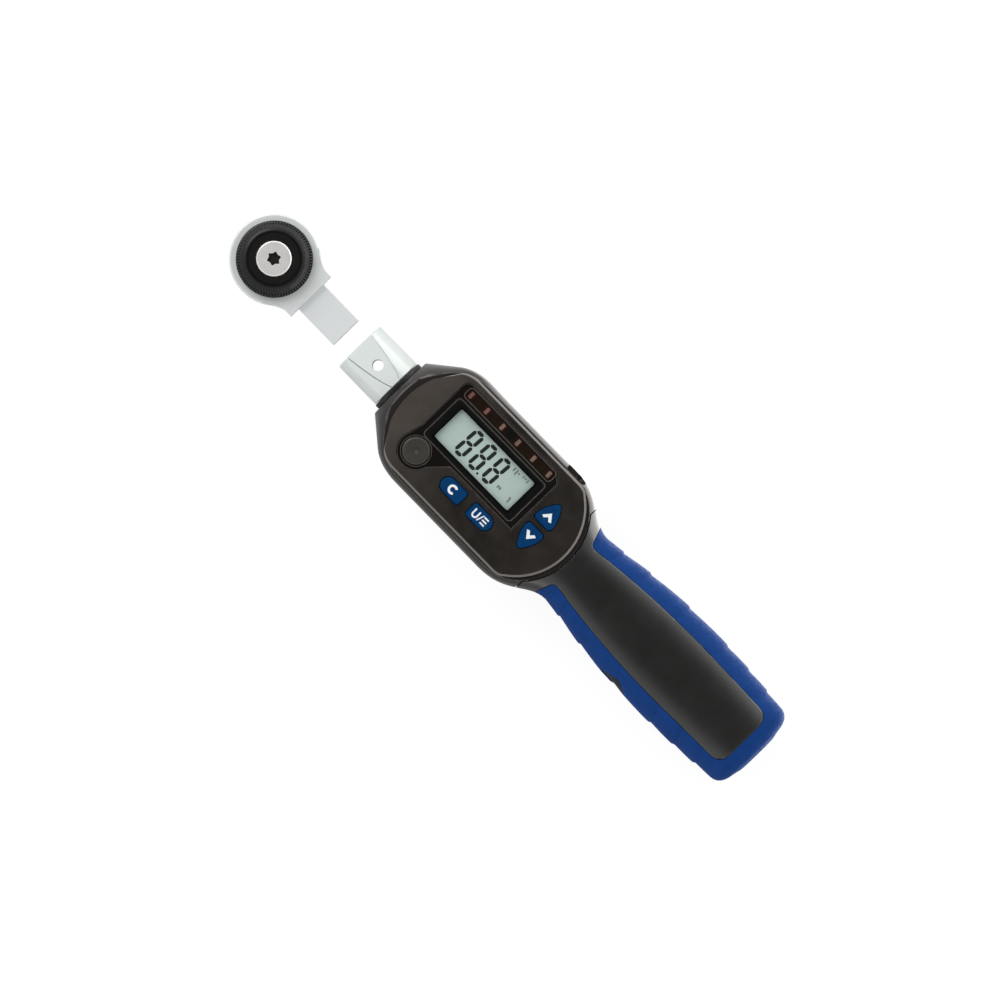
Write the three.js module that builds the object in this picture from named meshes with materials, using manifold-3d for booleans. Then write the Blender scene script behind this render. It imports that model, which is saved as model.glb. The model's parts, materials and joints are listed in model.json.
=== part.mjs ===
import * as THREE from 'three';
import { LoftGeometry } from 'three/addons/geometries/LoftGeometry.js';
import { mergeVertices } from 'three/addons/utils/BufferGeometryUtils.js';
import Module from 'manifold-3d';

// A digital torque wrench with an insert ratchet head, pulled out of its socket.
// Millimetres. X runs from the socket mouth to the handle end, Y to the light bar side, Z to the display.
// Heights are measured from the axis of the socket; the last group stands the tool on its back.

// ---- Driving dimensions ----

const gap = 0.3; // between neighbours that are cut to each other
const turnGap = 0.2; // round a pin or a screw in its hole

// Insert shank and the socket that takes it
const shank = { width: 12, thickness: 9, length: 17.2, fit: 0.25, pulledOut: 6.5 };
const bar = { radius: 9.85, length: 17.9, mouthChamfer: 0.5, flatAtMouth: 8.0, flatAtHousing: 9.65 };
const catchPin = { radius: 1.7, fromMouth: 9.2, proud: 1.6, length: 6.7, bore: 2.0, boreTop: 3.9 };

// Strain beam behind the socket
const neck = { radius: 7.5, length: 9.2 };
const beam = { width: 9, height: 14, length: 37 };
const tail = { width: 14, height: 12, length: 62 };
const gauge = { length: 12, height: 6, thickness: 0.6 };

// Outer body: housing, waist and handle in one flowing outline
const collar = { length: 1.6, radius: 10.2 };
const housing = {
  startWidth: 12.2,
  halfWidth: 23.6,
  halfHeight: 16.4,
  shoulderLength: 22,
  straightLength: 40,
  waistLength: 24,
  wall: 2.2,
  frontWall: 4.6,
  deckHeight: 14.2,
  deckThickness: 1.6,
  backHeight: 16,
};
const handle = {
  neckHalfWidth: 14.8,
  neckHalfHeight: 14.3,
  halfWidth: 19,
  halfHeight: 15.2,
  endHalfWidth: 17,
  endHalfHeight: 14,
  length: 88.2,
  wall: 2,
};
const grip = { depth: 2.2, topDepth: 1.6, start: 4.4, bandEnd: 6.8 };
const panel = { neckHalfWidth: 8.9, halfWidth: 12.2, endHalfWidth: 11.6, endCorner: 5 };

// Front cover and what looks through it
const cover = { halfWidth: 21, thickness: 2.2, edge: 1.1, frontRadius: 27, rearRadius: 24, rest: 2.4 };
const windowPanel = {
  length: 46.8,
  width: 25.4,
  thickness: 0.9,
  seat: 0.6,
  ledge: 1.2,
  lobe: 6.8,
  bezelMargin: 1.75,
  lightMargin: 1.15,
};
const bezel = {
  length: 41.4,
  width: 17.1,
  endLip: 3,
  sideLip: 1.95,
  rim: 1.5,
  rebate: 0.8,
  proud: 0.2,
  roof: 2,
};
const lens = { thickness: 0.6, recess: 0.3 };
const lcd = { thickness: 2.1 };
const lightBar = { length: 40.8, width: 3.6, proud: 0.2 };
const led = { length: 2, width: 2.8, height: 2.8, count: 6, pitch: 7.52 };
const board = { thickness: 1.2, top: 10.8, halfWidth: 17.8, length: 58.4 };
const buzzer = { radius: 5, height: 3 };
const keypad = { thickness: 0.8, domeRadius: 1.8 };
const key = { stroke: 0.8, clearance: 0.35, flange: 0.9, flangeThickness: 0.6, proud: 0.5 };
const roundKey = { radius: 4.8, proud: 0.2 };
const softKey = { length: 9.7, width: 5.6, squareCorner: 1.2 };
const arrowKey = { length: 7.5, width: 8.9, corner: 1.4, spacing: 2.2, middle: 1 };

// Fasteners, batteries and the side plug
const caseScrew = { radius: 1.3, head: 2.7, headHeight: 2.2, sunk: 3.5, reach: 7.5, boss: 3.4 };
const anchorScrew = { radius: 2, head: 3.5, headHeight: 3, sunk: 4.4, reach: 9.2, boss: 4.6, pitch: 10 };
const battery = {
  radius: 5.25,
  length: 44.5,
  spacing: 0.2,
  button: 1.9,
  buttonLength: 0.8,
  edge: 0.5,
  sides: 18,
};
const contact = {
  thickness: 0.4,
  sideInset: 1.4,
  edgeInset: 1.6,
  coilRadius: 2.8,
  wire: 0.35,
  turns: 2.5,
};
const hatch = {
  length: battery.length + 7,
  halfWidth: 2 * battery.radius + battery.spacing / 2 + 0.4,
  thickness: 2,
  ledge: 1.5,
  corner: 2,
  rib: 1.4,
  ribInset: 1.3,
};
const plug = { length: 11.4, height: 6.4, depth: 6 };

// Ratchet head
const head = {
  radius: 15.6,
  topHeight: 7.2,
  shoulderWidth: 19.2,
  axisToShoulder: 17.5,
  bottomFillet: 3,
  waistWidth: 17.6,
};
const gear = { teeth: 36, tipRadius: 8.8, toothDepth: 0.8, top: 4.5, floor: 2.0, hub: 6.2, hubTop: 6.9 };
const drive = { square: 9.53, length: 10.7, journal: 7, chamfer: 0.7, corner: 1, ball: 1.6, ballProud: 0.6 };
const ring = { innerRadius: 7.4, outerRadius: 9.5, thickness: 0.8, halfOpening: 46 };
const toothPitch = (2 * Math.PI * gear.tipRadius) / gear.teeth;
const pawl = {
  pivot: gear.tipRadius + 2.1,
  pinRadius: 0.8,
  hub: 1.9,
  height: 5.9,
  toothAngle: 20,
  engaged: gear.tipRadius - 0.29299 * toothPitch,
  swing: 12,
  peg: 0.5,
  pegRadius: gear.tipRadius + 1.15,
  pegAngle: 21,
};
const pocket = { radius: pawl.pivot + pawl.hub + gap, halfWidth: 5.8 };
const dial = {
  radius: 13.15,
  height: 6.4,
  lip: 1.8,
  waist: 12.7,
  topRadius: 10,
  groove: 9,
  turn: 60,
  slotDepth: 1.4,
};
const screw = { head: 6.1, headHeight: 1.6, stem: 2.5, reach: 6, recess: 2.55 };

// ---- Places that follow from the sizes ----

const housingStart = bar.length + gap + collar.length + turnGap;
const straightStart = housingStart + housing.shoulderLength;
const waistStart = straightStart + housing.straightLength;
const handleStart = waistStart + housing.waistLength;
const bodyEnd = handleStart + handle.length;
const neckEnd = bar.length + neck.length;
const beamEnd = neckEnd + beam.length;
const tailEnd = beamEnd + tail.length;
const shoulderX = -shank.pulledOut - shank.length;
const axisX = shoulderX - head.axisToShoulder;
const bottomZ = -shank.thickness / 2;
const windowStart = straightStart - 7.8;
const windowBottom = -6.8;
const coverTop = housing.deckHeight + cover.thickness;
const panelBase = housing.deckHeight + windowPanel.seat;
const panelTop = panelBase + windowPanel.thickness;
const flangeTop = housing.deckHeight - gap;
const flangeBottom = flangeTop - key.flangeThickness;
const domeTop = flangeBottom - key.stroke - 0.1;
const bezelCentre = {
  x: windowStart + windowPanel.length / 2,
  y: windowBottom + windowPanel.bezelMargin + bezel.width / 2,
};
const lightCentre = {
  x: bezelCentre.x,
  y: windowBottom + windowPanel.width - windowPanel.lightMargin - lightBar.width / 2,
};
const roundKeyCentre = { x: windowStart + 5, y: windowBottom - 4.2 };
const softKeyY = windowBottom - 1.7 - softKey.width / 2;
const arrowKeyX = windowStart + windowPanel.length + 1.9 + arrowKey.length / 2;
const seamX = handleStart - 10.1;
const seamRadius = cover.rearRadius + 0.8;
const seamCentre = handleStart - 4.1 - seamRadius;
const boardStart = windowStart - 1.2;
const ribX = [windowStart + 5.8, arrowKeyX - 0.6];
const screwY = board.halfWidth - 0.3;
const anchorX = [handleStart + 5, handleStart + 5 + anchorScrew.pitch];
const hatchStart = handleStart + 26;
const hatchEnd = hatchStart + hatch.length;
const contactX = hatchStart + hatch.ledge + turnGap;
const rearRibX = hatchEnd - hatch.ribInset;
const rearContactX = rearRibX - gap - contact.thickness;
const batteryStart = rearContactX - gap - battery.length;
const batteryY = battery.radius + battery.spacing / 2;
const batteryFloor = gap + handle.wall - handle.endHalfHeight;
const batteryZ = batteryFloor + battery.radius;
const plugX = hatchStart + 10;

// ---- Solids ----

const wasm = await Module();
wasm.setup();

// A closed geometry as a solid, turned outward when its triangles face in
function solid(geometry) {
  const bare = new THREE.BufferGeometry();
  bare.setAttribute('position', geometry.attributes.position);
  bare.setIndex(geometry.index);
  const merged = mergeVertices(bare, 1e-4);
  const index = merged.index.array;
  const kept = [];
  for (let i = 0; i < index.length; i += 3) {
    const [a, b, c] = [index[i], index[i + 1], index[i + 2]];
    if (a !== b && b !== c && c !== a) kept.push(a, b, c);
  }
  const vertProperties = new Float32Array(merged.attributes.position.array);
  const make = (list) => new wasm.Manifold(
    new wasm.Mesh({ numProp: 3, vertProperties, triVerts: new Uint32Array(list) }),
  );
  const made = make(kept);
  return made.volume() < 0 ? make(kept.reverse()) : made;
}

function join(...solids) {
  return solids.reduce((whole, piece) => whole.add(piece));
}

function cut(whole, ...tools) {
  return tools.reduce((rest, tool) => rest.subtract(tool), whole);
}

function toGeometry(shape) {
  const mesh = shape.getMesh();
  const geometry = new THREE.BufferGeometry();
  geometry.setAttribute('position', new THREE.BufferAttribute(mesh.vertProperties, 3));
  geometry.setIndex(new THREE.BufferAttribute(mesh.triVerts, 1));
  geometry.computeVertexNormals();
  return geometry;
}

function box(x0, x1, y0, y1, z0, z1) {
  const geometry = new THREE.BoxGeometry(x1 - x0, y1 - y0, z1 - z0);
  return solid(geometry.translate((x0 + x1) / 2, (y0 + y1) / 2, (z0 + z1) / 2));
}

// Turned pieces: profile points are (radius, distance along the axis)
function turned(profile, axis = 'z', sides = 24) {
  const points = profile.map(([r, d]) => new THREE.Vector2(r, d));
  const geometry = new THREE.LatheGeometry(points, sides);
  if (axis === 'x') geometry.rotateZ(-Math.PI / 2);
  if (axis === 'z') geometry.rotateX(Math.PI / 2);
  return solid(geometry);
}

function rod(radius, from, to, axis = 'z', sides = 24) {
  return turned([[0, from], [radius, from], [radius, to], [0, to]], axis, sides);
}

function prism(shape, z0, z1, segments = 2) {
  const options = { depth: z1 - z0, bevelEnabled: false, curveSegments: segments };
  return solid(new THREE.ExtrudeGeometry(shape, options).translate(0, 0, z0));
}

// A prism with its top and bottom edges rounded
function roundedPrism(shape, z0, z1, edge, segments = 2) {
  const options = {
    depth: z1 - z0 - 2 * edge,
    bevelThickness: edge,
    bevelSize: edge,
    bevelOffset: -edge,
    bevelSegments: 1,
    curveSegments: segments,
  };
  return solid(new THREE.ExtrudeGeometry(shape, options).translate(0, 0, z0 + edge));
}

// A prism of an (x, z) shape, running along Y
function sidePrism(shape, y0, y1, segments = 2) {
  const options = { depth: y1 - y0, bevelEnabled: false, curveSegments: segments };
  const geometry = new THREE.ExtrudeGeometry(shape, options).rotateX(Math.PI / 2);
  return solid(geometry.translate(0, y1, 0));
}

function roundedRect(x0, x1, y0, y1, r) {
  const shape = new THREE.Shape();
  shape.moveTo(x0 + r, y0);
  shape.lineTo(x1 - r, y0);
  shape.absarc(x1 - r, y0 + r, r, -Math.PI / 2, 0);
  shape.lineTo(x1, y1 - r);
  shape.absarc(x1 - r, y1 - r, r, 0, Math.PI / 2);
  shape.lineTo(x0 + r, y1);
  shape.absarc(x0 + r, y1 - r, r, Math.PI / 2, Math.PI);
  shape.lineTo(x0, y0 + r);
  shape.absarc(x0 + r, y0 + r, r, Math.PI, 1.5 * Math.PI);
  return shape;
}

class Helix extends THREE.Curve {
  constructor(radius, from, to, turns) {
    super();
    Object.assign(this, { radius, from, to, turns });
  }

  getPoint(t) {
    const angle = t * this.turns * 2 * Math.PI;
    const along = this.from + (this.to - this.from) * t;
    return new THREE.Vector3(this.radius * Math.cos(angle), this.radius * Math.sin(angle), along);
  }
}

// A coil spring about Z
function coil(radius, wire, from, to, turns, stepsPerTurn = 8, sides = 4) {
  const section = new THREE.Shape().absarc(0, 0, wire, 0, 2 * Math.PI);
  const options = {
    steps: Math.round(turns * stepsPerTurn),
    extrudePath: new Helix(radius, from, to, turns),
    curveSegments: sides / 2,
    bevelEnabled: false,
  };
  return solid(new THREE.ExtrudeGeometry(section, options));
}

function degrees(angle) {
  return (angle * Math.PI) / 180;
}

// ---- The scene graph ----

const wrench = new THREE.Group();
const tool = new THREE.Group();
wrench.add(tool);

function finish(color, roughness, metalness = 0) {
  return { color, roughness, metalness };
}

const looks = {
  steel: finish(0xd9dcd8, 0.28, 1),
  darkSteel: finish(0x6d7072, 0.4, 1),
  smoky: finish(0x2c2824, 0.18),
  smokyGlass: finish(0x1d1714, 0.1),
  black: finish(0x2a2927, 0.5),
  blackSatin: finish(0x17191a, 0.4),
  rubber: finish(0x151515, 0.8),
  blueRubber: finish(0x1e4891, 0.75),
  blueKey: finish(0x06417d, 0.45),
  greyKey: finish(0x4a4845, 0.4),
  glass: finish(0xb4c8be, 0.15),
  lcd: finish(0xa9bcae, 0.5),
  board: finish(0x1d5a34, 0.6),
  copper: finish(0xb87a45, 0.35, 0.8),
  brass: finish(0xc9a54a, 0.35, 1),
  white: finish(0xd8d2c4, 0.4),
  batterySkin: finish(0x8c9096, 0.35, 0.4),
};

function add(name, shape, look, parent = tool) {
  const material = new THREE.MeshStandardMaterial(looks[look]);
  const mesh = new THREE.Mesh(toGeometry(shape), material);
  mesh.name = name;
  parent.add(mesh);
  return mesh;
}

// ---- Outline and sections of the body ----

// Half width of the body along X
function planPoints() {
  const line = new THREE.Path();
  const slopeEnd = straightStart - 12.5;
  line.moveTo(housingStart, housing.startWidth);
  line.lineTo(slopeEnd, housing.startWidth + (housing.halfWidth - housing.startWidth) * 0.68);
  line.quadraticCurveTo(straightStart - 7.8, housing.halfWidth, straightStart, housing.halfWidth);
  line.lineTo(waistStart, housing.halfWidth);
  line.bezierCurveTo(
    waistStart + 13.5, housing.halfWidth,
    waistStart + 16, handle.neckHalfWidth + 0.2,
    handleStart, handle.neckHalfWidth,
  );
  line.bezierCurveTo(
    handleStart + 10, handle.neckHalfWidth + 1,
    handleStart + 24, handle.halfWidth,
    handleStart + handle.length * 0.53, handle.halfWidth,
  );
  line.bezierCurveTo(
    handleStart + handle.length * 0.7, handle.halfWidth,
    bodyEnd - 14, handle.endHalfWidth + 0.8,
    bodyEnd - 5.6, handle.endHalfWidth,
  );
  line.quadraticCurveTo(bodyEnd - 1.2, handle.endHalfWidth - 0.4, bodyEnd - 0.7, handle.endHalfWidth - 6);
  line.lineTo(bodyEnd, handle.endHalfWidth - 9);
  return line.getPoints(3);
}

// Half height of the body along X
function sidePoints() {
  const line = new THREE.Path();
  line.moveTo(housingStart, housing.startWidth);
  line.lineTo(housingStart + 2.4, housing.deckHeight + 0.6);
  line.lineTo(housingStart + 8, housing.halfHeight);
  line.lineTo(waistStart + 8, housing.halfHeight);
  line.bezierCurveTo(
    waistStart + 14, housing.halfHeight,
    waistStart + 18, handle.neckHalfHeight,
    handleStart, handle.neckHalfHeight,
  );
  line.quadraticCurveTo(
    handleStart + 24, handle.halfHeight,
    handleStart + handle.length * 0.53, handle.halfHeight,
  );
  line.quadraticCurveTo(bodyEnd - 24, handle.halfHeight, bodyEnd - 5.6, handle.endHalfHeight);
  line.quadraticCurveTo(bodyEnd - 1, handle.endHalfHeight - 1, bodyEnd - 0.7, handle.endHalfHeight - 4.6);
  line.lineTo(bodyEnd, handle.endHalfHeight - 7);
  return line.getPoints(6);
}

const plan = planPoints();
const side = sidePoints();
const fullness = [
  new THREE.Vector2(housingStart, 2.2),
  new THREE.Vector2(housingStart + 10, 4.6),
  new THREE.Vector2(straightStart - 4, 6),
  new THREE.Vector2(waistStart + 6, 6),
  new THREE.Vector2(handleStart, 2.9),
  new THREE.Vector2(bodyEnd, 2.7),
];

function valueAt(points, x) {
  let next = points.findIndex((point) => point.x >= x);
  if (next < 0) next = points.length - 1;
  if (next === 0) return points[0].y;
  const [a, b] = [points[next - 1], points[next]];
  return a.y + ((b.y - a.y) * (x - a.x)) / (b.x - a.x);
}

function bodySection(x, sourceX, insetWidth, insetHeight, count) {
  const width = valueAt(plan, sourceX) - insetWidth;
  const height = valueAt(side, sourceX) - insetHeight;
  const power = 2 / valueAt(fullness, sourceX);
  const points = [];
  for (let i = 0; i < count; i += 1) {
    const angle = (i / count) * 2 * Math.PI;
    const [c, s] = [Math.cos(angle), Math.sin(angle)];
    const y = width * Math.sign(c) * Math.abs(c) ** power;
    const z = height * Math.sign(s) * Math.abs(s) ** power;
    points.push(new THREE.Vector3(x, y, z));
  }
  return points;
}

// The body between two places, drawn in by an even amount; an end near bodyEnd is drawn in too
function bodyLoft(from, to, insetWidth = 0, insetHeight = 0, count = 16) {
  const endInset = bodyEnd - to;
  const middle = (handleStart + bodyEnd) / 2;
  const sections = [];
  let last = -Infinity;
  for (const point of plan) {
    const follow = Math.max(0, (point.x - middle) / (bodyEnd - middle));
    const x = point.x - endInset * follow;
    if (x >= from && point.x - last > 0.4) {
      sections.push(bodySection(x, point.x, insetWidth, insetHeight, count));
      last = point.x;
    }
  }
  if (sections[0][0].x > from + 0.3) {
    sections.unshift(bodySection(from, from, insetWidth, insetHeight, count));
  }
  return solid(new LoftGeometry(sections, { capStart: true, capEnd: true }));
}

// ---- Plan shapes that several pieces share ----

// Housing behind the collar, up to the curved seam; a positive grow moves the seam to the handle
function housingRegion(grow = 0) {
  const radius = seamRadius + grow;
  const reach = 2 * housing.halfWidth;
  const edge = seamX + grow;
  const angle = Math.acos((edge - seamCentre) / radius);
  const shape = new THREE.Shape();
  shape.moveTo(-reach, -reach);
  shape.lineTo(edge, -reach);
  shape.lineTo(edge, -radius * Math.sin(angle));
  shape.absarc(seamCentre, 0, radius, -angle, angle);
  shape.lineTo(edge, reach);
  shape.lineTo(-reach, reach);
  return shape;
}

// Raised front cover, drawn in by an inset
function coverOutline(inset = 0) {
  const half = cover.halfWidth - inset;
  const rear = cover.rearRadius - inset;
  const rearCentre = handleStart - 5.7 - cover.rearRadius;
  const rearAngle = Math.asin((half - 1.5) / rear);
  const front = cover.frontRadius - inset;
  const frontCentre = housingStart + 3.9 + cover.frontRadius;
  const frontAngle = Math.asin((cover.halfWidth * 0.49 - inset * 0.4) / front);
  const cornerX = straightStart - 6;
  const shape = new THREE.Shape();
  shape.moveTo(cornerX + 2, half);
  shape.quadraticCurveTo(
    cornerX - 2.5, half,
    cornerX - 4.8, half - 2.6,
  );
  shape.lineTo(frontCentre - front * Math.cos(frontAngle), front * Math.sin(frontAngle));
  shape.absarc(frontCentre, 0, front, Math.PI - frontAngle, Math.PI + frontAngle);
  shape.lineTo(cornerX - 4.8, 2.6 - half);
  shape.quadraticCurveTo(
    cornerX - 2.5, -half,
    cornerX + 2, -half,
  );
  const rearX = rearCentre + rear * Math.cos(rearAngle);
  shape.lineTo(rearX - 4.4, -half);
  shape.quadraticCurveTo(rearX - 1.2, -half, rearX, 1.5 - half);
  shape.absarc(rearCentre, 0, rear, -rearAngle, rearAngle);
  shape.quadraticCurveTo(rearX - 1.2, half, rearX - 4.4, half);
  return shape;
}

// Inner window panel round the display, the light bar and the round key
function windowOutline(inset = 0) {
  const [x0, x1] = [windowStart + inset, windowStart + windowPanel.length - inset];
  const [y0, y1] = [windowBottom + inset, windowBottom + windowPanel.width - inset];
  const { x, y } = roundKeyCentre;
  const lobe = windowPanel.lobe - inset;
  const shape = new THREE.Shape();
  shape.moveTo(x0, y1 - 3);
  shape.lineTo(x0, y0 + 3.8);
  shape.lineTo(x + lobe * Math.cos(degrees(156)), y + lobe * Math.sin(degrees(156)));
  shape.absarc(x, y, lobe, degrees(156), degrees(346));
  shape.lineTo(x + windowPanel.lobe + 5.2, y0);
  shape.lineTo(x1, y0);
  shape.lineTo(x1, y1 - 3.2);
  shape.lineTo(x1 - 3.2, y1);
  shape.lineTo(x0 + 3, y1);
  shape.quadraticCurveTo(x0, y1, x0, y1 - 3);
  return shape;
}

// A key with one round end and one squarer end
function softKeyShape(centreX, roundSide, grow = 0) {
  const r = softKey.width / 2 + grow;
  const half = softKey.length / 2 + grow;
  const corner = softKey.squareCorner + grow;
  const shape = new THREE.Shape();
  const at = (dx, dy) => [centreX + roundSide * dx, softKeyY + dy];
  shape.moveTo(...at(half - r, r));
  for (let i = 1; i <= 8; i += 1) {
    const angle = Math.PI / 2 - (i / 8) * Math.PI;
    shape.lineTo(...at(half - r + r * Math.cos(angle), r * Math.sin(angle)));
  }
  shape.lineTo(...at(-half + corner, -r));
  shape.quadraticCurveTo(...at(-half, -r), ...at(-half, -r + corner));
  shape.lineTo(...at(-half, r - corner));
  shape.quadraticCurveTo(...at(-half, r), ...at(-half + corner, r));
  return shape;
}

// A five-sided key pointing along +Y or -Y
function arrowKeyShape(pointing, grow = 0) {
  const half = arrowKey.length / 2 + grow;
  const base = arrowKey.middle + pointing * (arrowKey.spacing / 2 - grow);
  const at = (dx, dy) => [arrowKeyX + dx, base + pointing * dy];
  const tall = arrowKey.width + 2 * grow;
  const shape = new THREE.Shape();
  shape.moveTo(...at(-half + arrowKey.corner, 0));
  shape.lineTo(...at(half - arrowKey.corner, 0));
  shape.quadraticCurveTo(...at(half, 0), ...at(half, arrowKey.corner));
  shape.quadraticCurveTo(...at(half * 1.02, tall * 0.5), ...at(half * 0.28, tall * 0.93));
  shape.quadraticCurveTo(...at(0, tall * 1.07), ...at(-half * 0.28, tall * 0.93));
  shape.quadraticCurveTo(...at(-half * 1.02, tall * 0.5), ...at(-half, arrowKey.corner));
  shape.quadraticCurveTo(...at(-half, 0), ...at(-half + arrowKey.corner, 0));
  return shape;
}

const keyShapes = {
  clear_key: (grow) => softKeyShape(windowStart + 23.1, -1, grow),
  unit_key: (grow) => softKeyShape(windowStart + 36.5, 1, grow),
  up_key: (grow) => arrowKeyShape(1, grow),
  down_key: (grow) => arrowKeyShape(-1, grow),
};

// Black panel along the handle; the plain band in front of the grip is part of it
function panelOutline(grow = 0) {
  const reach = 2 * handle.halfWidth;
  const slantX = handleStart - grip.start + grow;
  const innerX = handleStart - grip.start + 1.8 + grow;
  const end = bodyEnd - grip.bandEnd + grow;
  const corner = panel.endCorner;
  const shape = new THREE.Shape();
  const half = [];
  const line = new THREE.Path();
  line.moveTo(slantX, reach);
  line.lineTo(slantX, handle.neckHalfWidth + 1);
  line.lineTo(innerX, panel.neckHalfWidth + 1.8 + grow);
  line.quadraticCurveTo(
    innerX + 0.4, panel.neckHalfWidth + grow,
    innerX + 2.4, panel.neckHalfWidth + grow,
  );
  line.quadraticCurveTo(
    handleStart + 24, panel.halfWidth + grow,
    handleStart + handle.length * 0.55, panel.halfWidth + grow,
  );
  line.lineTo(end - corner, panel.endHalfWidth + grow);
  line.quadraticCurveTo(end, panel.endHalfWidth + grow, end, panel.endHalfWidth - corner + grow);
  for (const point of line.getPoints(2)) half.push(point);
  shape.moveTo(seamX - 20, reach);
  for (const point of half) shape.lineTo(point.x, point.y);
  for (const point of half.reverse()) shape.lineTo(point.x, -point.y);
  shape.lineTo(seamX - 20, -reach);
  return shape;
}

// ---- Socket and strain beam ----

function makeHolderBeam() {
  const profile = [
    [0, 0],
    [bar.radius - bar.mouthChamfer, 0],
    [bar.radius, bar.mouthChamfer],
    [bar.radius, bar.length],
    [neck.radius, bar.length],
    [neck.radius, neckEnd],
    [0, neckEnd],
  ];
  const bodySolid = join(
    turned(profile, 'x', 32),
    box(neckEnd - 1, beamEnd, -beam.width / 2, beam.width / 2, -beam.height / 2, beam.height / 2),
    box(beamEnd, tailEnd, -tail.width / 2, tail.width / 2, -tail.height / 2, tail.height / 2),
  );
  const halfWidth = shank.width / 2 + shank.fit;
  const halfThick = shank.thickness / 2 + shank.fit;
  const socket = box(-1, shank.length, -halfWidth, halfWidth, -halfThick, halfThick);
  const leadIn = box(
    -1, catchPin.fromMouth,
    -catchPin.radius - gap, catchPin.radius + gap,
    bottomZ - catchPin.proud - gap, 0,
  );
  const flat = new THREE.Shape();
  flat.moveTo(-1, bar.flatAtMouth);
  flat.lineTo(bar.length, bar.flatAtHousing);
  flat.lineTo(bar.length, bar.radius + 1);
  flat.lineTo(-1, bar.radius + 1);
  const pinHole = rod(catchPin.radius + gap, -bar.radius - 1, bar.radius + 1, 'z', 20);
  const anchors = anchorX.map((x) => {
    return rod(anchorScrew.radius + turnGap, -20, 20, 'z', 16).translate([x, 0, 0]);
  });
  return cut(
    bodySolid,
    socket,
    leadIn,
    sidePrism(flat, -bar.radius, bar.radius),
    pinHole.translate([catchPin.fromMouth, 0, 0]),
    ...anchors,
  );
}

function makeGauge(sideSign) {
  const middle = (neckEnd + beamEnd) / 2;
  const near = beam.width / 2;
  const [y0, y1] = sideSign > 0 ? [near, near + gauge.thickness] : [-near - gauge.thickness, -near];
  return box(
    middle - gauge.length / 2, middle + gauge.length / 2,
    y0, y1,
    -gauge.height / 2, gauge.height / 2,
  );
}

function makeFrontSeal() {
  const start = bar.length + gap;
  const end = start + collar.length;
  return turned([
    [neck.radius + gap, start],
    [collar.radius - 0.3, start],
    [collar.radius, start + 0.3],
    [collar.radius, end],
    [neck.radius + gap, end],
    [neck.radius + gap, start],
  ], 'x', 28);
}

// ---- Housing ----

const outerBody = bodyLoft(housingStart, bodyEnd);
const slab = (z0, z1) => box(-200, 400, -200, 200, z0, z1);

function housingCavity() {
  const inner = bodyLoft(
    housingStart + housing.frontWall, bodyEnd - housing.wall,
    housing.wall, housing.wall, 12,
  );
  const [bottom, top] = [housing.wall - housing.backHeight, housing.deckHeight - housing.deckThickness];
  return inner.intersect(slab(bottom, top));
}

function eachScrewPlace(make) {
  const made = [];
  for (const x of ribX) {
    for (const y of [-screwY, screwY]) made.push(make(x, y));
  }
  return made;
}

function makeHousing() {
  const region = prism(housingRegion(), -40, 40, 6);
  const whole = outerBody.intersect(region).intersect(slab(-housing.backHeight, housing.deckHeight));
  const shell = cut(
    whole,
    housingCavity(),
    rod(neck.radius + gap, housingStart - 1, housingStart + housing.frontWall + 2, 'x', 36),
  );
  const seam = gap / 2;
  const inside = outerBody.intersect(region);
  const ribs = eachScrewPlace((x, y) => {
    const [near, far] = [board.halfWidth - 3.5, housing.halfWidth];
    const [y0, y1] = y > 0 ? [near, far] : [-far, -near];
    return box(x - 3, x + 3, y0, y1, seam, board.top - board.thickness).intersect(inside);
  });
  const ribHoles = eachScrewPlace((x, y) => {
    return rod(caseScrew.radius + turnGap, -1, caseScrew.reach + 0.5, 'z', 12).translate([x, y, 0]);
  });
  const opening = prism(coverOutline(cover.rest), board.top, 20, 5);
  const front = cut(join(shell.intersect(slab(seam, 40)), ...ribs), opening, ...ribHoles);
  const bosses = eachScrewPlace((x, y) => {
    return rod(caseScrew.boss, 1 - housing.backHeight, -seam, 'z', 12).translate([x, y, 0]);
  });
  const bossHoles = eachScrewPlace((x, y) => {
    const through = rod(caseScrew.radius + turnGap, -housing.backHeight - 1, 1, 'z', 12);
    const floor = caseScrew.sunk - housing.backHeight;
    const sunk = rod(caseScrew.head + gap, -housing.backHeight - 1, floor, 'z', 16);
    return join(through, sunk).translate([x, y, 0]);
  });
  const back = cut(
    join(shell.intersect(slab(-40, -seam)), ...bosses.map((boss) => boss.intersect(inside))),
    ...bossHoles,
  );
  return { front, back };
}

// A screw along Z with its head down and a hexagonal recess in the head
function makeScrew({ radius, head: headRadius, headHeight }, headBottom, reach) {
  const blank = turned([
    [0, headBottom],
    [headRadius - 0.3, headBottom],
    [headRadius, headBottom + 0.3],
    [headRadius, headBottom + headHeight],
    [radius, headBottom + headHeight],
    [radius, reach],
    [0, reach],
  ], 'z', 12);
  const recess = rod(headRadius * 0.5, headBottom - 1, headBottom + headHeight * 0.6, 'z', 6);
  return blank.subtract(recess);
}

// ---- Front cover, display and keys ----

function makeFrontCover() {
  const plate = roundedPrism(coverOutline(), housing.deckHeight - 2 * cover.edge, coverTop, cover.edge, 6);
  const keyHoles = Object.values(keyShapes).map((shape) => prism(shape(key.clearance), 0, 30));
  return cut(
    plate.intersect(slab(housing.deckHeight, 40)),
    prism(windowOutline(), panelBase, 30, 6),
    prism(windowOutline(windowPanel.ledge), 0, 30, 6),
    ...keyHoles,
  );
}

function bezelShape(grow = 0) {
  const [dx, dy] = [bezel.length / 2 + grow, bezel.width / 2 + grow];
  const { x, y } = bezelCentre;
  return roundedRect(x - dx, x + dx, y - dy, y + dy, 1 + grow);
}

function lightBarShape(grow = 0) {
  const [dx, dy] = [lightBar.length / 2 + grow, lightBar.width / 2 + grow];
  const { x, y } = lightCentre;
  return roundedRect(x - dx, x + dx, y - dy, y + dy, 1 + grow);
}

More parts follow.
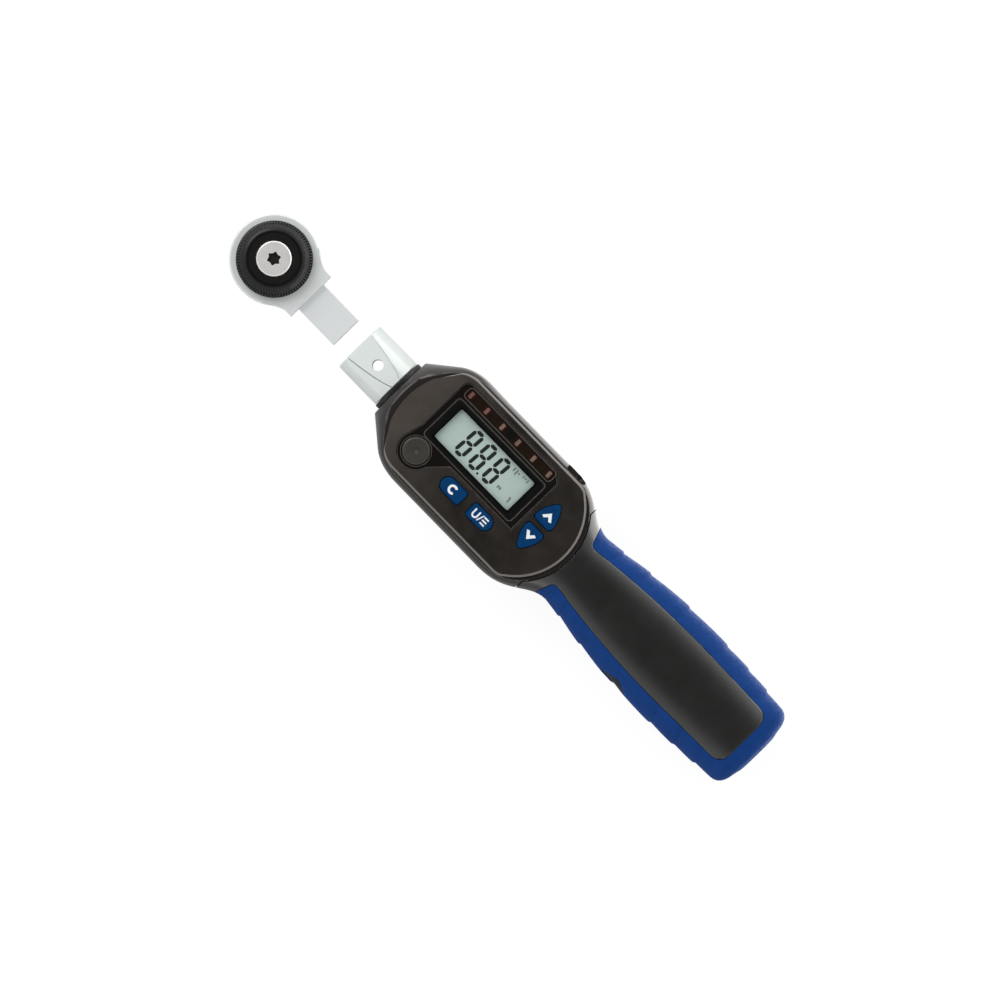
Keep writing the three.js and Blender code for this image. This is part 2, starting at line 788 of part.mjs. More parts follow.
function makeWindowPanel() {
  const { x, y } = roundKeyCentre;
  return cut(
    prism(windowOutline(turnGap), panelBase, panelTop, 6),
    prism(bezelShape(turnGap), 0, 30),
    prism(lightBarShape(turnGap), 0, 30),
    rod(roundKey.radius + key.clearance, 0, 30, 'z', 24).translate([x, y, 0]),
  );
}

// Plan of the display opening, set in from the bezel's ends and sides
function displayPlan(endInset, sideInset) {
  const { x, y } = bezelCentre;
  const [dx, dy] = [bezel.length / 2 - endInset, bezel.width / 2 - sideInset];
  return roundedRect(x - dx, x + dx, y - dy, y + dy, 0.6);
}

// Plan of the rebate that the lens drops into, or of the lens itself
function lensPlan(clearance = 0) {
  const inset = clearance - bezel.rebate;
  return displayPlan(bezel.endLip + inset, bezel.sideLip + inset);
}

function makeBezel() {
  const top = panelTop + bezel.proud;
  return cut(
    prism(bezelShape(), board.top, top),
    prism(displayPlan(bezel.rim, bezel.rim), 0, top - bezel.roof),
    prism(displayPlan(bezel.endLip, bezel.sideLip), 0, 30),
    prism(lensPlan(), top - lens.recess - lens.thickness, 30),
  );
}

function makeLens() {
  const top = panelTop + bezel.proud - lens.recess;
  return prism(lensPlan(turnGap), top - lens.thickness, top);
}

function makeLcd() {
  const top = panelTop + bezel.proud - bezel.roof - gap;
  const inset = bezel.rim + gap;
  return prism(displayPlan(inset, inset), top - lcd.thickness, top);
}

function makeBoard() {
  const shape = roundedRect(boardStart, boardStart + board.length, -board.halfWidth, board.halfWidth, 2);
  return prism(shape, board.top - board.thickness, board.top);
}

function makeKeypad() {
  const left = boardStart + 0.6;
  const right = boardStart + board.length - 0.6;
  const low = 1.6 - board.halfWidth;
  const seatY = bezelCentre.y - bezel.width / 2 - 0.8;
  const seatX = bezelCentre.x + bezel.length / 2 + 1;
  const base = board.top;
  const sheet = join(
    box(left, right, low, seatY, base, base + keypad.thickness),
    box(seatX, right, low, arrowKey.middle + arrowKey.width + 3, base, base + keypad.thickness),
  );
  const domes = keyCentres().map(([x, y]) => {
    return rod(keypad.domeRadius, base, domeTop, 'z', 12).translate([x, y, 0]);
  });
  return join(sheet, ...domes);
}

function keyCentres() {
  const arrowY = (arrowKey.spacing + arrowKey.width) / 2;
  return [
    [roundKeyCentre.x, roundKeyCentre.y],
    [windowStart + 23.1, softKeyY],
    [windowStart + 36.5, softKeyY],
    [arrowKeyX, arrowKey.middle + arrowY],
    [arrowKeyX, arrowKey.middle - arrowY],
  ];
}

function makeKey(shape) {
  return join(
    prism(shape(key.flange), flangeBottom, flangeTop),
    roundedPrism(shape(0), flangeBottom, coverTop + key.proud, 0.5).intersect(slab(flangeBottom, 40)),
  );
}

function makeRoundKey() {
  const top = coverTop + roundKey.proud;
  const cap = turned([
    [0, flangeBottom],
    [roundKey.radius + key.flange, flangeBottom],
    [roundKey.radius + key.flange, flangeTop],
    [roundKey.radius, flangeTop],
    [roundKey.radius, top - 0.5],
    [roundKey.radius - 0.5, top],
    [0, top],
  ], 'z', 24);
  return cap.translate([roundKeyCentre.x, roundKeyCentre.y, 0]);
}

// ---- Handle ----

function stadium(length, height, grow = 0) {
  const [dx, dz] = [length / 2 + grow, height / 2 + grow];
  return roundedRect(plugX - dx, plugX + dx, -dz, dz, dz - 0.01);
}

function hatchShape(grow = 0) {
  return roundedRect(
    hatchStart - grow, hatchEnd + grow,
    -hatch.halfWidth - grow, hatch.halfWidth + grow,
    hatch.corner + grow,
  );
}

const belowHandle = (shape) => prism(shape, -40, -handle.halfHeight / 2);

function makeHandle() {
  const region = prism(housingRegion(gap), -40, 40, 6);
  const outer = outerBody.subtract(region);
  const coreEnd = bodyEnd - grip.depth - 0.4;
  const core = bodyLoft(seamX - 20, coreEnd, grip.depth, grip.topDepth, 12).subtract(region);
  const cavity = bodyLoft(
    seamX - 20, coreEnd - handle.wall,
    grip.depth + handle.wall, grip.topDepth + handle.wall, 12,
  );
  const shell = cut(
    join(core, outer.intersect(prism(panelOutline(), -40, 40))),
    cavity,
    sidePrism(stadium(plug.length, plug.height, gap), -40, 0, 3),
  );
  const seam = gap / 2;
  const bossParts = anchorX.map((x) => rod(anchorScrew.boss, -40, 40, 'z', 20).translate([x, 0, 0]));
  const tailRoom = box(
    seamX - 30, tailEnd + 1,
    -tail.width / 2 - gap, tail.width / 2 + gap,
    -tail.height / 2 - gap, tail.height / 2 + gap,
  );
  const bosses = join(...bossParts).intersect(core).subtract(tailRoom);
  const reachTop = anchorScrew.reach + 0.5;
  const anchorHoles = anchorX.map((x) => {
    const through = rod(anchorScrew.radius + turnGap, -40, reachTop, 'z', 16);
    const sunk = rod(anchorScrew.head + gap, -40, anchorScrew.sunk - handle.neckHalfHeight, 'z', 20);
    return join(through, sunk).translate([x, 0, 0]);
  });
  const front = cut(join(shell, bosses).intersect(slab(seam, 40)), ...anchorHoles);
  const ribs = [contactX - gap - hatch.rib, rearRibX].map((x) => {
    return box(x, x + hatch.rib, -40, 40, -40, -seam).intersect(core);
  });
  const hatchOuter = cut(belowHandle(hatchShape()), bodyLoft(seamX - 20, bodyEnd, 0, hatch.thickness + gap));
  const throughHole = prism(
    roundedRect(
      hatchStart + hatch.ledge, hatchEnd - hatch.ledge,
      -hatch.halfWidth, hatch.halfWidth, hatch.corner,
    ),
    -40, -handle.halfHeight / 2,
  );
  const back = cut(
    join(join(shell, bosses).intersect(slab(-40, -seam)), ...ribs),
    hatchOuter,
    throughHole,
    ...anchorHoles,
  );
  const lid = cut(
    outerBody.intersect(belowHandle(hatchShape(-gap))),
    bodyLoft(seamX - 20, bodyEnd, 0, hatch.thickness),
  );
  const sleeve = cut(
    outer,
    bodyLoft(seamX - 20, coreEnd + gap, grip.depth - gap, grip.topDepth - gap, 12),
    prism(panelOutline(gap), -40, 40),
    belowHandle(hatchShape()),
    sidePrism(stadium(plug.length, plug.height, gap), -40, 0, 3),
  );
  return { front, back, lid, sleeve };
}

function makePlug() {
  const stub = sidePrism(stadium(plug.length, plug.height), -40, plug.depth - handle.halfWidth, 3);
  return stub.intersect(bodyLoft(seamX - 20, bodyEnd, gap, gap));
}

function makeBattery(sideSign) {
  const start = batteryStart;
  const end = batteryStart + battery.length;
  const shoulder = end - battery.buttonLength;
  const { radius } = battery;
  const profile = [
    [0, start],
    [radius - battery.edge, start],
    [radius, start + battery.edge],
    [radius, shoulder - battery.edge],
    [radius - battery.edge, shoulder],
    [battery.button, shoulder],
    [battery.button, end],
    [0, end],
  ];
  const turnedCell = turned(profile, 'x', battery.sides);
  const turnedRound = turnedCell.mirror([1, 0, 0]).translate([start + end, 0, 0]);
  return (sideSign > 0 ? turnedCell : turnedRound).translate([0, sideSign * batteryY, batteryZ]);
}

function contactPlate(x) {
  const halfWidth = batteryY + battery.radius - contact.sideInset;
  const halfHeight = battery.radius - contact.edgeInset;
  return box(x, x + contact.thickness, -halfWidth, halfWidth, batteryZ - halfHeight, batteryZ + halfHeight);
}

function makeFrontContact() {
  const start = contactX + contact.thickness - contact.wire;
  const end = batteryStart - gap - contact.wire;
  const spring = coil(contact.coilRadius, contact.wire, start, end, contact.turns, 10);
  const coils = [-batteryY, batteryY].map((y) => {
    return spring.rotate([0, 90, 0]).translate([0, y, batteryZ]);
  });
  return join(contactPlate(contactX), ...coils);
}

// ---- Ratchet head ----

const ratchet = new THREE.Group();
ratchet.position.set(axisX, 0, 0);
tool.add(ratchet);

const catchX = head.axisToShoulder + gap + catchPin.fromMouth;
const retainerX = catchX + catchPin.radius + gap / 2;
const retainerZ = -1.5;
const retainerRadius = 0.6;

function neckOutline() {
  const half = head.shoulderWidth / 2;
  const shape = new THREE.Shape();
  const start = head.radius * 0.5;
  const flank = head.radius * 0.86;
  shape.moveTo(start, -flank);
  shape.quadraticCurveTo(head.radius * 0.82, -head.waistWidth / 2 - 0.6, head.axisToShoulder - 2, -half);
  shape.lineTo(head.axisToShoulder, -half);
  shape.lineTo(head.axisToShoulder, half);
  shape.lineTo(head.axisToShoulder - 2, half);
  shape.quadraticCurveTo(head.radius * 0.82, head.waistWidth / 2 + 0.6, start, flank);
  shape.lineTo(0, 0);
  return shape;
}

function makeHeadBody() {
  const fillet = head.bottomFillet;
  const profile = [[0, bottomZ]];
  for (let i = 0; i <= 3; i += 1) {
    const angle = (i / 3) * (Math.PI / 2);
    profile.push([
      head.radius - fillet + fillet * Math.sin(angle),
      bottomZ + fillet - fillet * Math.cos(angle),
    ]);
  }
  profile.push([head.radius, head.topHeight - 0.6], [head.radius - 0.6, head.topHeight], [0, head.topHeight]);
  const shankEnd = head.axisToShoulder + shank.length;
  const halfWidth = shank.width / 2;
  const shankShape = roundedRect(-halfWidth, halfWidth, bottomZ, -bottomZ, 0.5);
  const shankGeometry = new THREE.ExtrudeGeometry(shankShape, {
    depth: shank.length + 1,
    bevelEnabled: false,
    curveSegments: 1,
  });
  shankGeometry.rotateX(Math.PI / 2).rotateZ(Math.PI / 2);
  const shankSolid = solid(shankGeometry.translate(shankEnd - shank.length - 1, 0, 0));
  const blank = join(
    turned(profile, 'z', 36),
    prism(neckOutline(), bottomZ, head.topHeight, 5),
    shankSolid,
  );
  const floor = -gear.floor;
  const pawlRoom = box(
    gear.tipRadius - 1, pocket.radius,
    -pocket.halfWidth, pocket.halfWidth,
    floor, head.topHeight + 1,
  ).intersect(rod(pocket.radius, floor - 1, head.topHeight + 2, 'z', 36));
  const ringZ = gear.top + gap;
  return cut(
    blank,
    rod(gear.tipRadius + gap, floor, head.topHeight + 1, 'z', 32),
    rod(drive.journal + gap, bottomZ - 1, floor + 1, 'z', 24),
    pawlRoom,
    rod(ring.outerRadius + gap, ringZ, ringZ + ring.thickness + gap, 'z', 36),
    rod(catchPin.bore, bottomZ - 1, catchPin.boreTop, 'z', 20).translate([catchX, 0, 0]),
    rod(retainerRadius + 0.15, -halfWidth - 1, halfWidth + 1, 'y', 12).translate([retainerX, 0, retainerZ]),
    rod(pawl.pinRadius + 0.1, floor - 1.4, floor + 1, 'z', 16).translate([pawl.pivot, 0, 0]),
  );
}

function makeCatchPin() {
  const tip = bottomZ - catchPin.proud;
  const top = tip + catchPin.length;
  const pin = turned([
    [0, tip],
    [catchPin.radius * 0.55, tip + 0.1],
    [catchPin.radius * 0.9, tip + 0.6],
    [catchPin.radius, tip + 1.2],
    [catchPin.radius, top],
    [0, top],
  ], 'z', 20);
  const notchBottom = retainerZ - retainerRadius - gap - catchPin.proud;
  const notchSide = retainerX - catchX - retainerRadius - gap;
  const notch = box(notchSide, 4, -4, 4, notchBottom, retainerZ + retainerRadius + gap);
  return pin.subtract(notch).translate([catchX, 0, 0]);
}

function makeCatchSpring() {
  const from = bottomZ - catchPin.proud + catchPin.length + 0.35;
  return coil(1.2, 0.25, from, catchPin.boreTop - 0.35, 3).translate([catchX, 0, 0]);
}

function gearOutline() {
  const shape = new THREE.Shape();
  const root = gear.tipRadius - gear.toothDepth;
  const pitch = (2 * Math.PI) / gear.teeth;
  const steps = [[0.22, root], [0.42, gear.tipRadius], [0.58, gear.tipRadius], [0.78, root]];
  for (let tooth = 0; tooth < gear.teeth; tooth += 1) {
    for (const [share, radius] of steps) {
      const angle = degrees(pawl.toothAngle) + (tooth + share) * pitch;
      const point = [radius * Math.cos(angle), radius * Math.sin(angle)];
      if (tooth === 0 && share === steps[0][0]) shape.moveTo(...point);
      else shape.lineTo(...point);
    }
  }
  return shape;
}

function makeDriveGear() {
  const base = gap - gear.floor;
  const half = drive.square / 2;
  const tip = bottomZ - drive.length;
  const squareShape = roundedRect(-half, half, -half, half, drive.corner);
  const square = roundedPrism(squareShape, tip, bottomZ + 2, drive.chamfer, 2);
  return cut(
    join(
      prism(gearOutline(), base, gear.top),
      rod(drive.journal, bottomZ, base + 0.5, 'z', 24),
      square.intersect(slab(tip, bottomZ + 1)),
      rod(gear.hub, gear.top - 1, gear.hubTop, 'z', 20),
    ),
    rod(screw.stem + turnGap, gear.hubTop - screw.reach - gap, 20, 'z', 16),
    ballBore(),
  );
}

const ballZ = bottomZ - drive.length * 0.6;
const ballX = -drive.square / 2 + drive.ball - drive.ballProud;

function ballBore() {
  return rod(drive.ball + 0.15, -drive.square, drive.square / 2 - 2, 'x', 16).translate([0, 0, ballZ]);
}

function makeBall() {
  return solid(new THREE.SphereGeometry(drive.ball, 12, 8)).translate([ballX, 0, ballZ]);
}

function makeBallSpring() {
  const from = ballX + drive.ball + drive.ballProud + 0.2;
  const spring = coil(1.1, 0.25, from, drive.square / 2 - 2 - 0.35, 2.5);
  return spring.rotate([0, 90, 0]).translate([0, 0, ballZ]);
}

function makeRetainingRing() {
  const z = gear.top + gap + 0.15;
  const open = degrees(ring.halfOpening);
  const shape = new THREE.Shape();
  shape.absarc(0, 0, ring.outerRadius, open, 2 * Math.PI - open, false);
  shape.absarc(0, 0, ring.innerRadius, 2 * Math.PI - open, open, true);
  return prism(shape, z, z + ring.thickness, 12);
}

// Pawl drawn about its pivot in its middle position, one tooth at each end
function pawlOutline() {
  const tipAngle = degrees(pawl.toothAngle);
  const half = degrees(pawl.swing / 2);
  const centre = new THREE.Vector2();
  const engagedTip = new THREE.Vector2(
    pawl.engaged * Math.cos(tipAngle) - pawl.pivot,
    pawl.engaged * Math.sin(tipAngle),
  );
  const toothTip = engagedTip.rotateAround(centre, -half);
  const outward = new THREE.Vector2(Math.cos(tipAngle - half), Math.sin(tipAngle - half));
  const place = (out, side) => [
    toothTip.x + outward.x * out - outward.y * side,
    toothTip.y + outward.y * out + outward.x * side,
  ];
  const upper = [
    [pawl.hub * 0.45, pawl.hub * 0.85],
    place(1.9, 0.9),
    place(0.8, 1.3),
    place(0.7, 0.6),
    place(0, 0.22),
    place(0, -0.22),
    place(0.8, -0.7),
    [-pawl.hub * 0.75, 0.9],
  ];
  const shape = new THREE.Shape();
  shape.moveTo(...upper[0]);
  for (const point of upper.slice(1)) shape.lineTo(...point);
  for (const [x, y] of upper.slice().reverse()) shape.lineTo(x, -y);
  shape.lineTo(pawl.hub * 0.45 + 0.4, 0);
  return shape;
}

const pawlBase = gap - gear.floor;
const pegTop = head.topHeight + gap + dial.slotDepth - gap;

function pegPlace(turn) {
  const angle = degrees(turn);
  const peg = new THREE.Vector2(
    pawl.pegRadius * Math.cos(degrees(pawl.pegAngle)) - pawl.pivot,
    pawl.pegRadius * Math.sin(degrees(pawl.pegAngle)),
  );
  return peg.rotateAround(new THREE.Vector2(), angle).add(new THREE.Vector2(pawl.pivot, 0));
}

function makePawl() {
  const plain = join(
    prism(pawlOutline(), pawlBase, pawlBase + pawl.height),
    rod(pawl.hub, pawlBase, pawlBase + pawl.height, 'z', 20),
  );
  const peg = rod(pawl.peg, pawlBase + pawl.height - 1, pegTop, 'z', 10);
  const at = pegPlace(0);
  const whole = join(plain, peg.translate([at.x - pawl.pivot, at.y, 0]));
  const bored = whole.subtract(rod(pawl.pinRadius + turnGap, -20, 20, 'z', 16));
  return bored.rotate([0, 0, pawl.swing / 2]).translate([pawl.pivot, 0, 0]);
}

function makePawlPin() {
  return rod(pawl.pinRadius, -gear.floor - 1.2, pawlBase + pawl.height + gap, 'z', 16)
    .translate([pawl.pivot, 0, 0]);
}

// Cam slot under the dial: the path of the pawl's peg as the dial turns
function camSlot() {
  const width = pawl.peg + gap;
  const path = [];
  const steps = 8;
  for (let i = -1; i <= steps + 1; i += 1) {
    const turn = Math.min(Math.max(i / steps, 0), 1);
    const extra = i < 0 ? -width * 0.6 : i > steps ? width * 0.6 : 0;
    const place = pegPlace(pawl.swing / 2 - pawl.swing * turn);
    const around = place.angle() - degrees(dial.turn * turn) - extra / place.length();
    path.push([place.length(), around]);
  }
  const shape = new THREE.Shape();
  const outer = path.map(([r, a]) => [(r + width) * Math.cos(a), (r + width) * Math.sin(a)]);
  const inner = path.map(([r, a]) => [(r - width) * Math.cos(a), (r - width) * Math.sin(a)]).reverse();
  shape.moveTo(...outer[0]);
  for (const point of [...outer.slice(1), ...inner]) shape.lineTo(...point);
  const base = head.topHeight + gap;
  return prism(shape, base - 1, base + dial.slotDepth);
}

function makeDial() {
  const base = head.topHeight + gap;
  const top = base + dial.height;
  const seat = top - screw.headHeight + 0.3;
  const bore = screw.stem + 0.4;
  const body = turned([
    [bore, base],
    [dial.radius - 0.2, base],
    [dial.radius, base + 0.2],
    [dial.radius, base + dial.lip],
    [dial.radius - 0.25, base + dial.lip + 0.2],
    [dial.waist, top - 2.6],
    [dial.waist - 0.9, top - 1.3],
    [dial.topRadius, top],
    [dial.groove + 0.25, top],
    [dial.groove, top - 0.35],
    [dial.groove - 0.25, top],
    [screw.head + gap, top],
    [screw.head + gap, seat],
    [bore, seat],
    [bore, base],
  ], 'z', 36);
  return body.subtract(camSlot());
}

function makeCentreScrew() {
  const top = head.topHeight + gap + dial.height + 0.3;
  const under = top - screw.headHeight;
  const blank = turned([
    [0, gear.hubTop - screw.reach],
    [screw.stem, gear.hubTop - screw.reach],
    [screw.stem, under],
    [screw.head, under],
    [screw.head, top - 0.4],
    [screw.head - 0.4, top],
    [0, top],
  ], 'z', 28);
  const star = new THREE.Shape();
  for (let i = 0; i < 12; i += 1) {
    const r = i % 2 ? screw.recess * 0.72 : screw.recess;
    const point = [r * Math.cos(degrees(30 * i)), r * Math.sin(degrees(30 * i))];
    if (i) star.lineTo(...point);
    else star.moveTo(...point);
  }
  return blank.subtract(prism(star, top - 1.3, top + 1));
}

// ---- Assembly ----

add('holder_beam', makeHolderBeam(), 'steel');
add('strain_gauge_left', makeGauge(1), 'copper');
add('strain_gauge_right', makeGauge(-1), 'copper');
add('front_seal', makeFrontSeal(), 'rubber');

const housingShells = makeHousing();
add('housing_front', housingShells.front, 'smoky');
add('housing_back', housingShells.back, 'smoky');
eachScrewPlace((x, y) => [x, y]).forEach(([x, y], i) => {
  const headBottom = caseScrew.sunk - housing.backHeight - gap - caseScrew.headHeight;
  const shape = makeScrew(caseScrew, headBottom, caseScrew.reach);
  add(`case_screw_${i + 1}`, shape.translate([x, y, 0]), 'darkSteel');
});

add('front_cover', makeFrontCover(), 'smoky');
add('window_panel', makeWindowPanel(), 'smokyGlass');
add('display_bezel', makeBezel(), 'blackSatin');
add('display_lens', makeLens(), 'glass');
add('lcd_panel', makeLcd(), 'lcd');
add('light_bar_lens', prism(lightBarShape(), panelBase, panelTop + lightBar.proud), 'smokyGlass');
for (let i = 0; i < led.count; i += 1) {
  const x = lightCentre.x + (i - (led.count - 1) / 2) * led.pitch;
  const lamp = box(
    x - led.length / 2, x + led.length / 2,
    lightCentre.y - led.width / 2, lightCentre.y + led.width / 2,
    board.top, board.top + led.height,
  );
  add(`led_${i + 1}`, lamp, 'white');
}
add('circuit_board', makeBoard(), 'board');
const buzzerTop = board.top - board.thickness;
const buzzerCan = rod(buzzer.radius, buzzerTop - buzzer.height, buzzerTop, 'z', 24);
add('buzzer', buzzerCan.translate([ribX[1] - 2, 0, 0]), 'blackSatin');
add('keypad', makeKeypad(), 'rubber');
add('round_key', makeRoundKey(), 'greyKey');
for (const [name, shape] of Object.entries(keyShapes)) add(name, makeKey(shape), 'blueKey');

const handleShells = makeHandle();
add('handle_front', handleShells.front, 'black');
add('handle_back', handleShells.back, 'black');
add('grip_sleeve', handleShells.sleeve, 'blueRubber');
add('battery_cover', handleShells.lid, 'black');
add('port_plug', makePlug(), 'rubber');
anchorX.forEach((x, i) => {
  const headBottom = anchorScrew.sunk - handle.neckHalfHeight - gap - anchorScrew.headHeight;
  const shape = makeScrew(anchorScrew, headBottom, anchorScrew.reach);
  add(`anchor_screw_${i + 1}`, shape.translate([x, 0, 0]), 'darkSteel');
});
add('battery_left', makeBattery(1), 'batterySkin');
add('battery_right', makeBattery(-1), 'batterySkin');
add('battery_contact_front', makeFrontContact(), 'brass');
add('battery_contact_rear', contactPlate(rearContactX), 'brass');

add('head_body', makeHeadBody(), 'steel', ratchet);
add('catch_pin', makeCatchPin(), 'steel', ratchet);
add('catch_spring', makeCatchSpring(), 'darkSteel', ratchet);
add('catch_retainer', rod(retainerRadius, -shank.width / 2 + 0.2, shank.width / 2 - 0.2, 'y', 12)
  .translate([retainerX, 0, retainerZ]), 'steel', ratchet);
add('drive_gear', makeDriveGear(), 'steel', ratchet);
add('drive_ball', makeBall(), 'steel', ratchet);
add('ball_spring', makeBallSpring(), 'darkSteel', ratchet);
add('retaining_ring', makeRetainingRing(), 'darkSteel', ratchet);
add('pawl', makePawl(), 'darkSteel', ratchet);
add('pawl_pin', makePawlPin(), 'steel', ratchet);
add('reversing_dial', makeDial(), 'blackSatin', ratchet);
add('centre_screw', makeCentreScrew(), 'steel', ratchet);

// The tool lies on its back with the middle of its length at the origin
const frontEnd = axisX - head.radius;
tool.position.set(-(frontEnd + bodyEnd) / 2, 0, housing.backHeight);

export default wrench;
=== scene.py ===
import json
import math

import bmesh
import bpy
import numpy as np
from mathutils import Matrix, Vector


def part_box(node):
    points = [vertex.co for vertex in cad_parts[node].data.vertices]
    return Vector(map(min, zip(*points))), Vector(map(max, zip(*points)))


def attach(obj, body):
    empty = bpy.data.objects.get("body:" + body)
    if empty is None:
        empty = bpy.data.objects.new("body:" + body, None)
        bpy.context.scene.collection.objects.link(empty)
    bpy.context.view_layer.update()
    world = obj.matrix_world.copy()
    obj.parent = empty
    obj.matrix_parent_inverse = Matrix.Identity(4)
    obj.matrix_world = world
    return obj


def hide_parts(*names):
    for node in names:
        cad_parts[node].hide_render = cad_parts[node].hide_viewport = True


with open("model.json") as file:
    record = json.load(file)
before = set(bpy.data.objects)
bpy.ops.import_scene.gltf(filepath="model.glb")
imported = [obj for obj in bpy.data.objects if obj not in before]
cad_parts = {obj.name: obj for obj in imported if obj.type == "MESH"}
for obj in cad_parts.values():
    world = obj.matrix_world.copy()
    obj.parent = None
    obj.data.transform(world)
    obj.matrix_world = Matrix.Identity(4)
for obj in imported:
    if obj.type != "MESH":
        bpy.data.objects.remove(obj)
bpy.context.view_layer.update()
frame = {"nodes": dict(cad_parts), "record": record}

scene = bpy.context.scene

# Shapes are drawn in millimetres from the socket mouth, with heights from the socket axis
deckLevel = 14.2
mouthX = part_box("holder_beam")[0].x
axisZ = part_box("front_cover")[0].z - deckLevel / 1000
toRow = Matrix.Translation((mouthX, 0, axisZ)) @ Matrix.Scale(0.001, 4)
gap = 0.3


# Node trees

class Wire:
    def __init__(self, nodes, socket):
        self.nodes = nodes
        self.socket = socket

    def __add__(self, other):
        return self.nodes.maths("ADD", self, other)

    def __radd__(self, other):
        return self.nodes.maths("ADD", other, self)

    def __sub__(self, other):
        return self.nodes.maths("SUBTRACT", self, other)

    def __rsub__(self, other):
        return self.nodes.maths("SUBTRACT", other, self)

    def __mul__(self, other):
        return self.nodes.maths("MULTIPLY", self, other)

    def __rmul__(self, other):
        return self.nodes.maths("MULTIPLY", other, self)

    def __truediv__(self, other):
        return self.nodes.maths("DIVIDE", self, other)

    def __rtruediv__(self, other):
        return self.nodes.maths("DIVIDE", other, self)


class Nodes:
    def __init__(self, tree):
        self.tree = tree

    def add(self, kind, settings=None, inputs=None):
        node = self.tree.nodes.new(kind)
        for key, value in (settings or {}).items():
            setattr(node, key, value)
        for key, value in (inputs or {}).items():
            if isinstance(value, Wire):
                self.tree.links.new(value.socket, node.inputs[key])
            else:
                node.inputs[key].default_value = value
        return node

    def out(self, kind, key, settings=None, inputs=None):
        return Wire(self, self.add(kind, settings, inputs).outputs[key])

    def maths(self, operation, *values):
        inputs = dict(enumerate(values))
        return self.out("ShaderNodeMath", 0, {"operation": operation}, inputs)


# A colour as seen on a screen, as the numbers a shader takes
def paint(red, green, blue):
    def linear(value):
        share = value / 255
        return share / 12.92 if share <= 0.04045 else ((share + 0.055) / 1.055) ** 2.4
    return (linear(red), linear(green), linear(blue), 1)


class Finish(Nodes):
    def __init__(self, name, **constants):
        self.material = bpy.data.materials.new(name)
        self.material.use_nodes = True
        super().__init__(self.material.node_tree)
        self.shader = next(n for n in self.tree.nodes if n.type == "BSDF_PRINCIPLED")
        self.output = next(n for n in self.tree.nodes if n.type == "OUTPUT_MATERIAL")
        self.point = self.out("ShaderNodeTexCoord", "Object")
        for key, value in constants.items():
            self.shader.inputs[key.replace("_", " ")].default_value = value

    def feed(self, key, wire):
        self.tree.links.new(wire.socket, self.shader.inputs[key])

    def stretched(self, along):
        return self.out("ShaderNodeMapping", 0, None, {"Vector": self.point, "Scale": along})

    def noise(self, size, detail=2.0, along=(1, 1, 1)):
        vector = self.stretched(along)
        inputs = {"Vector": vector, "Scale": 1000 / size, "Detail": detail}
        return self.out("ShaderNodeTexNoise", 0, None, inputs)

    def span(self, wire, low, high, fromLow=0.3, fromHigh=0.7):
        inputs = {0: wire, 1: fromLow, 2: fromHigh, 3: low, 4: high}
        return self.out("ShaderNodeMapRange", 0, {"clamp": True}, inputs)

    def mixed(self, factor, first, second):
        settings = {"data_type": "RGBA"}
        inputs = {0: factor, 6: first, 7: second}
        return self.out("ShaderNodeMix", 2, settings, inputs)

    def bump(self, height, depth):
        inputs = {"Height": height, "Distance": depth / 1000, "Strength": 1.0}
        self.feed("Normal", self.out("ShaderNodeBump", 0, None, inputs))

    # A clear or smoky sheet: light goes straight through, tinted, under a gloss
    def seeThrough(self, tint, share):
        clear = self.out("ShaderNodeBsdfTransparent", 0, None, {"Color": tint})
        mix = self.add("ShaderNodeMixShader", None, {0: share, 1: clear})
        self.tree.links.new(self.shader.outputs[0], mix.inputs[2])
        self.tree.links.new(mix.outputs[0], self.output.inputs[0])


# A moulded face, which may carry painted light that fades from the light tone to base along X, and painted highlights
# of another tone on its sloping edge faces
def mouldedPlastic(name, base, light, rough, grain=0.0, patch=9, gloss=0.35, paintedLightAlongX=None, edge=None):
    finish = Finish(name, IOR=1.5, Specular_IOR_Level=gloss)
    share = finish.span(finish.noise(patch, 3), 0, 1)
    if paintedLightAlongX:
        along = finish.add("ShaderNodeSeparateXYZ", None, {0: finish.point})
        # Painted light: the colour is made lighter towards low X, standing in for light falling on that end, mixed with
        # the random tone
        share = share * 0.3 + finish.span(Wire(finish, along.outputs[0]), 0.7, 0.0, *paintedLightAlongX)
    colour = finish.mixed(share, base, light)
    if edge:
        # Painted highlight: faces tilted between level and steep take the edge tone, standing in for light caught on
        # the rounded edges
        facing = finish.out("ShaderNodeNewGeometry", "True Normal")
        upward = Wire(finish, finish.add("ShaderNodeSeparateXYZ", None, {0: facing}).outputs[2])
        paintedHighlightMask = finish.maths("GREATER_THAN", upward, 0.35) * finish.maths("LESS_THAN", upward, 0.93)
        colour = finish.mixed(paintedHighlightMask, colour, edge)
    finish.feed("Base Color", colour)
    finish.feed("Roughness", finish.span(finish.noise(patch / 3, 4), rough * 0.95, rough * 1.08))
    if grain:
        finish.bump(finish.noise(0.35, 3), grain)
    else:
        finish.bump(finish.noise(6, 1), 0.012)
    return finish.material


def satinSteel(name, base, light, rough, along, depth=0.004, metal=0.45):
    finish = Finish(name, Metallic=metal)
    streaks = finish.noise(0.9, 5, along)
    finish.feed("Base Color", finish.mixed(finish.span(streaks, 0, 1), base, light))
    finish.feed("Roughness", finish.span(finish.noise(0.6, 4, along), rough * 0.8, rough * 1.25))
    finish.bump(finish.noise(0.3, 3, along), depth)
    return finish.material


def makeGripRubber():
    look = {"base": paint(11, 56, 120), "light": paint(16, 61, 128), "grain": 0.03}
    finish = Finish("gripRubber", IOR=1.45, Specular_IOR_Level=0.12)
    cloud = finish.noise(7, 4)
    finish.feed("Base Color", finish.mixed(finish.span(cloud, 0, 1), look["base"], look["light"]))
    finish.feed("Roughness", finish.span(finish.noise(1.5, 3), 0.55, 0.72))
    finish.bump(finish.noise(0.28, 3), look["grain"])
    return finish.material


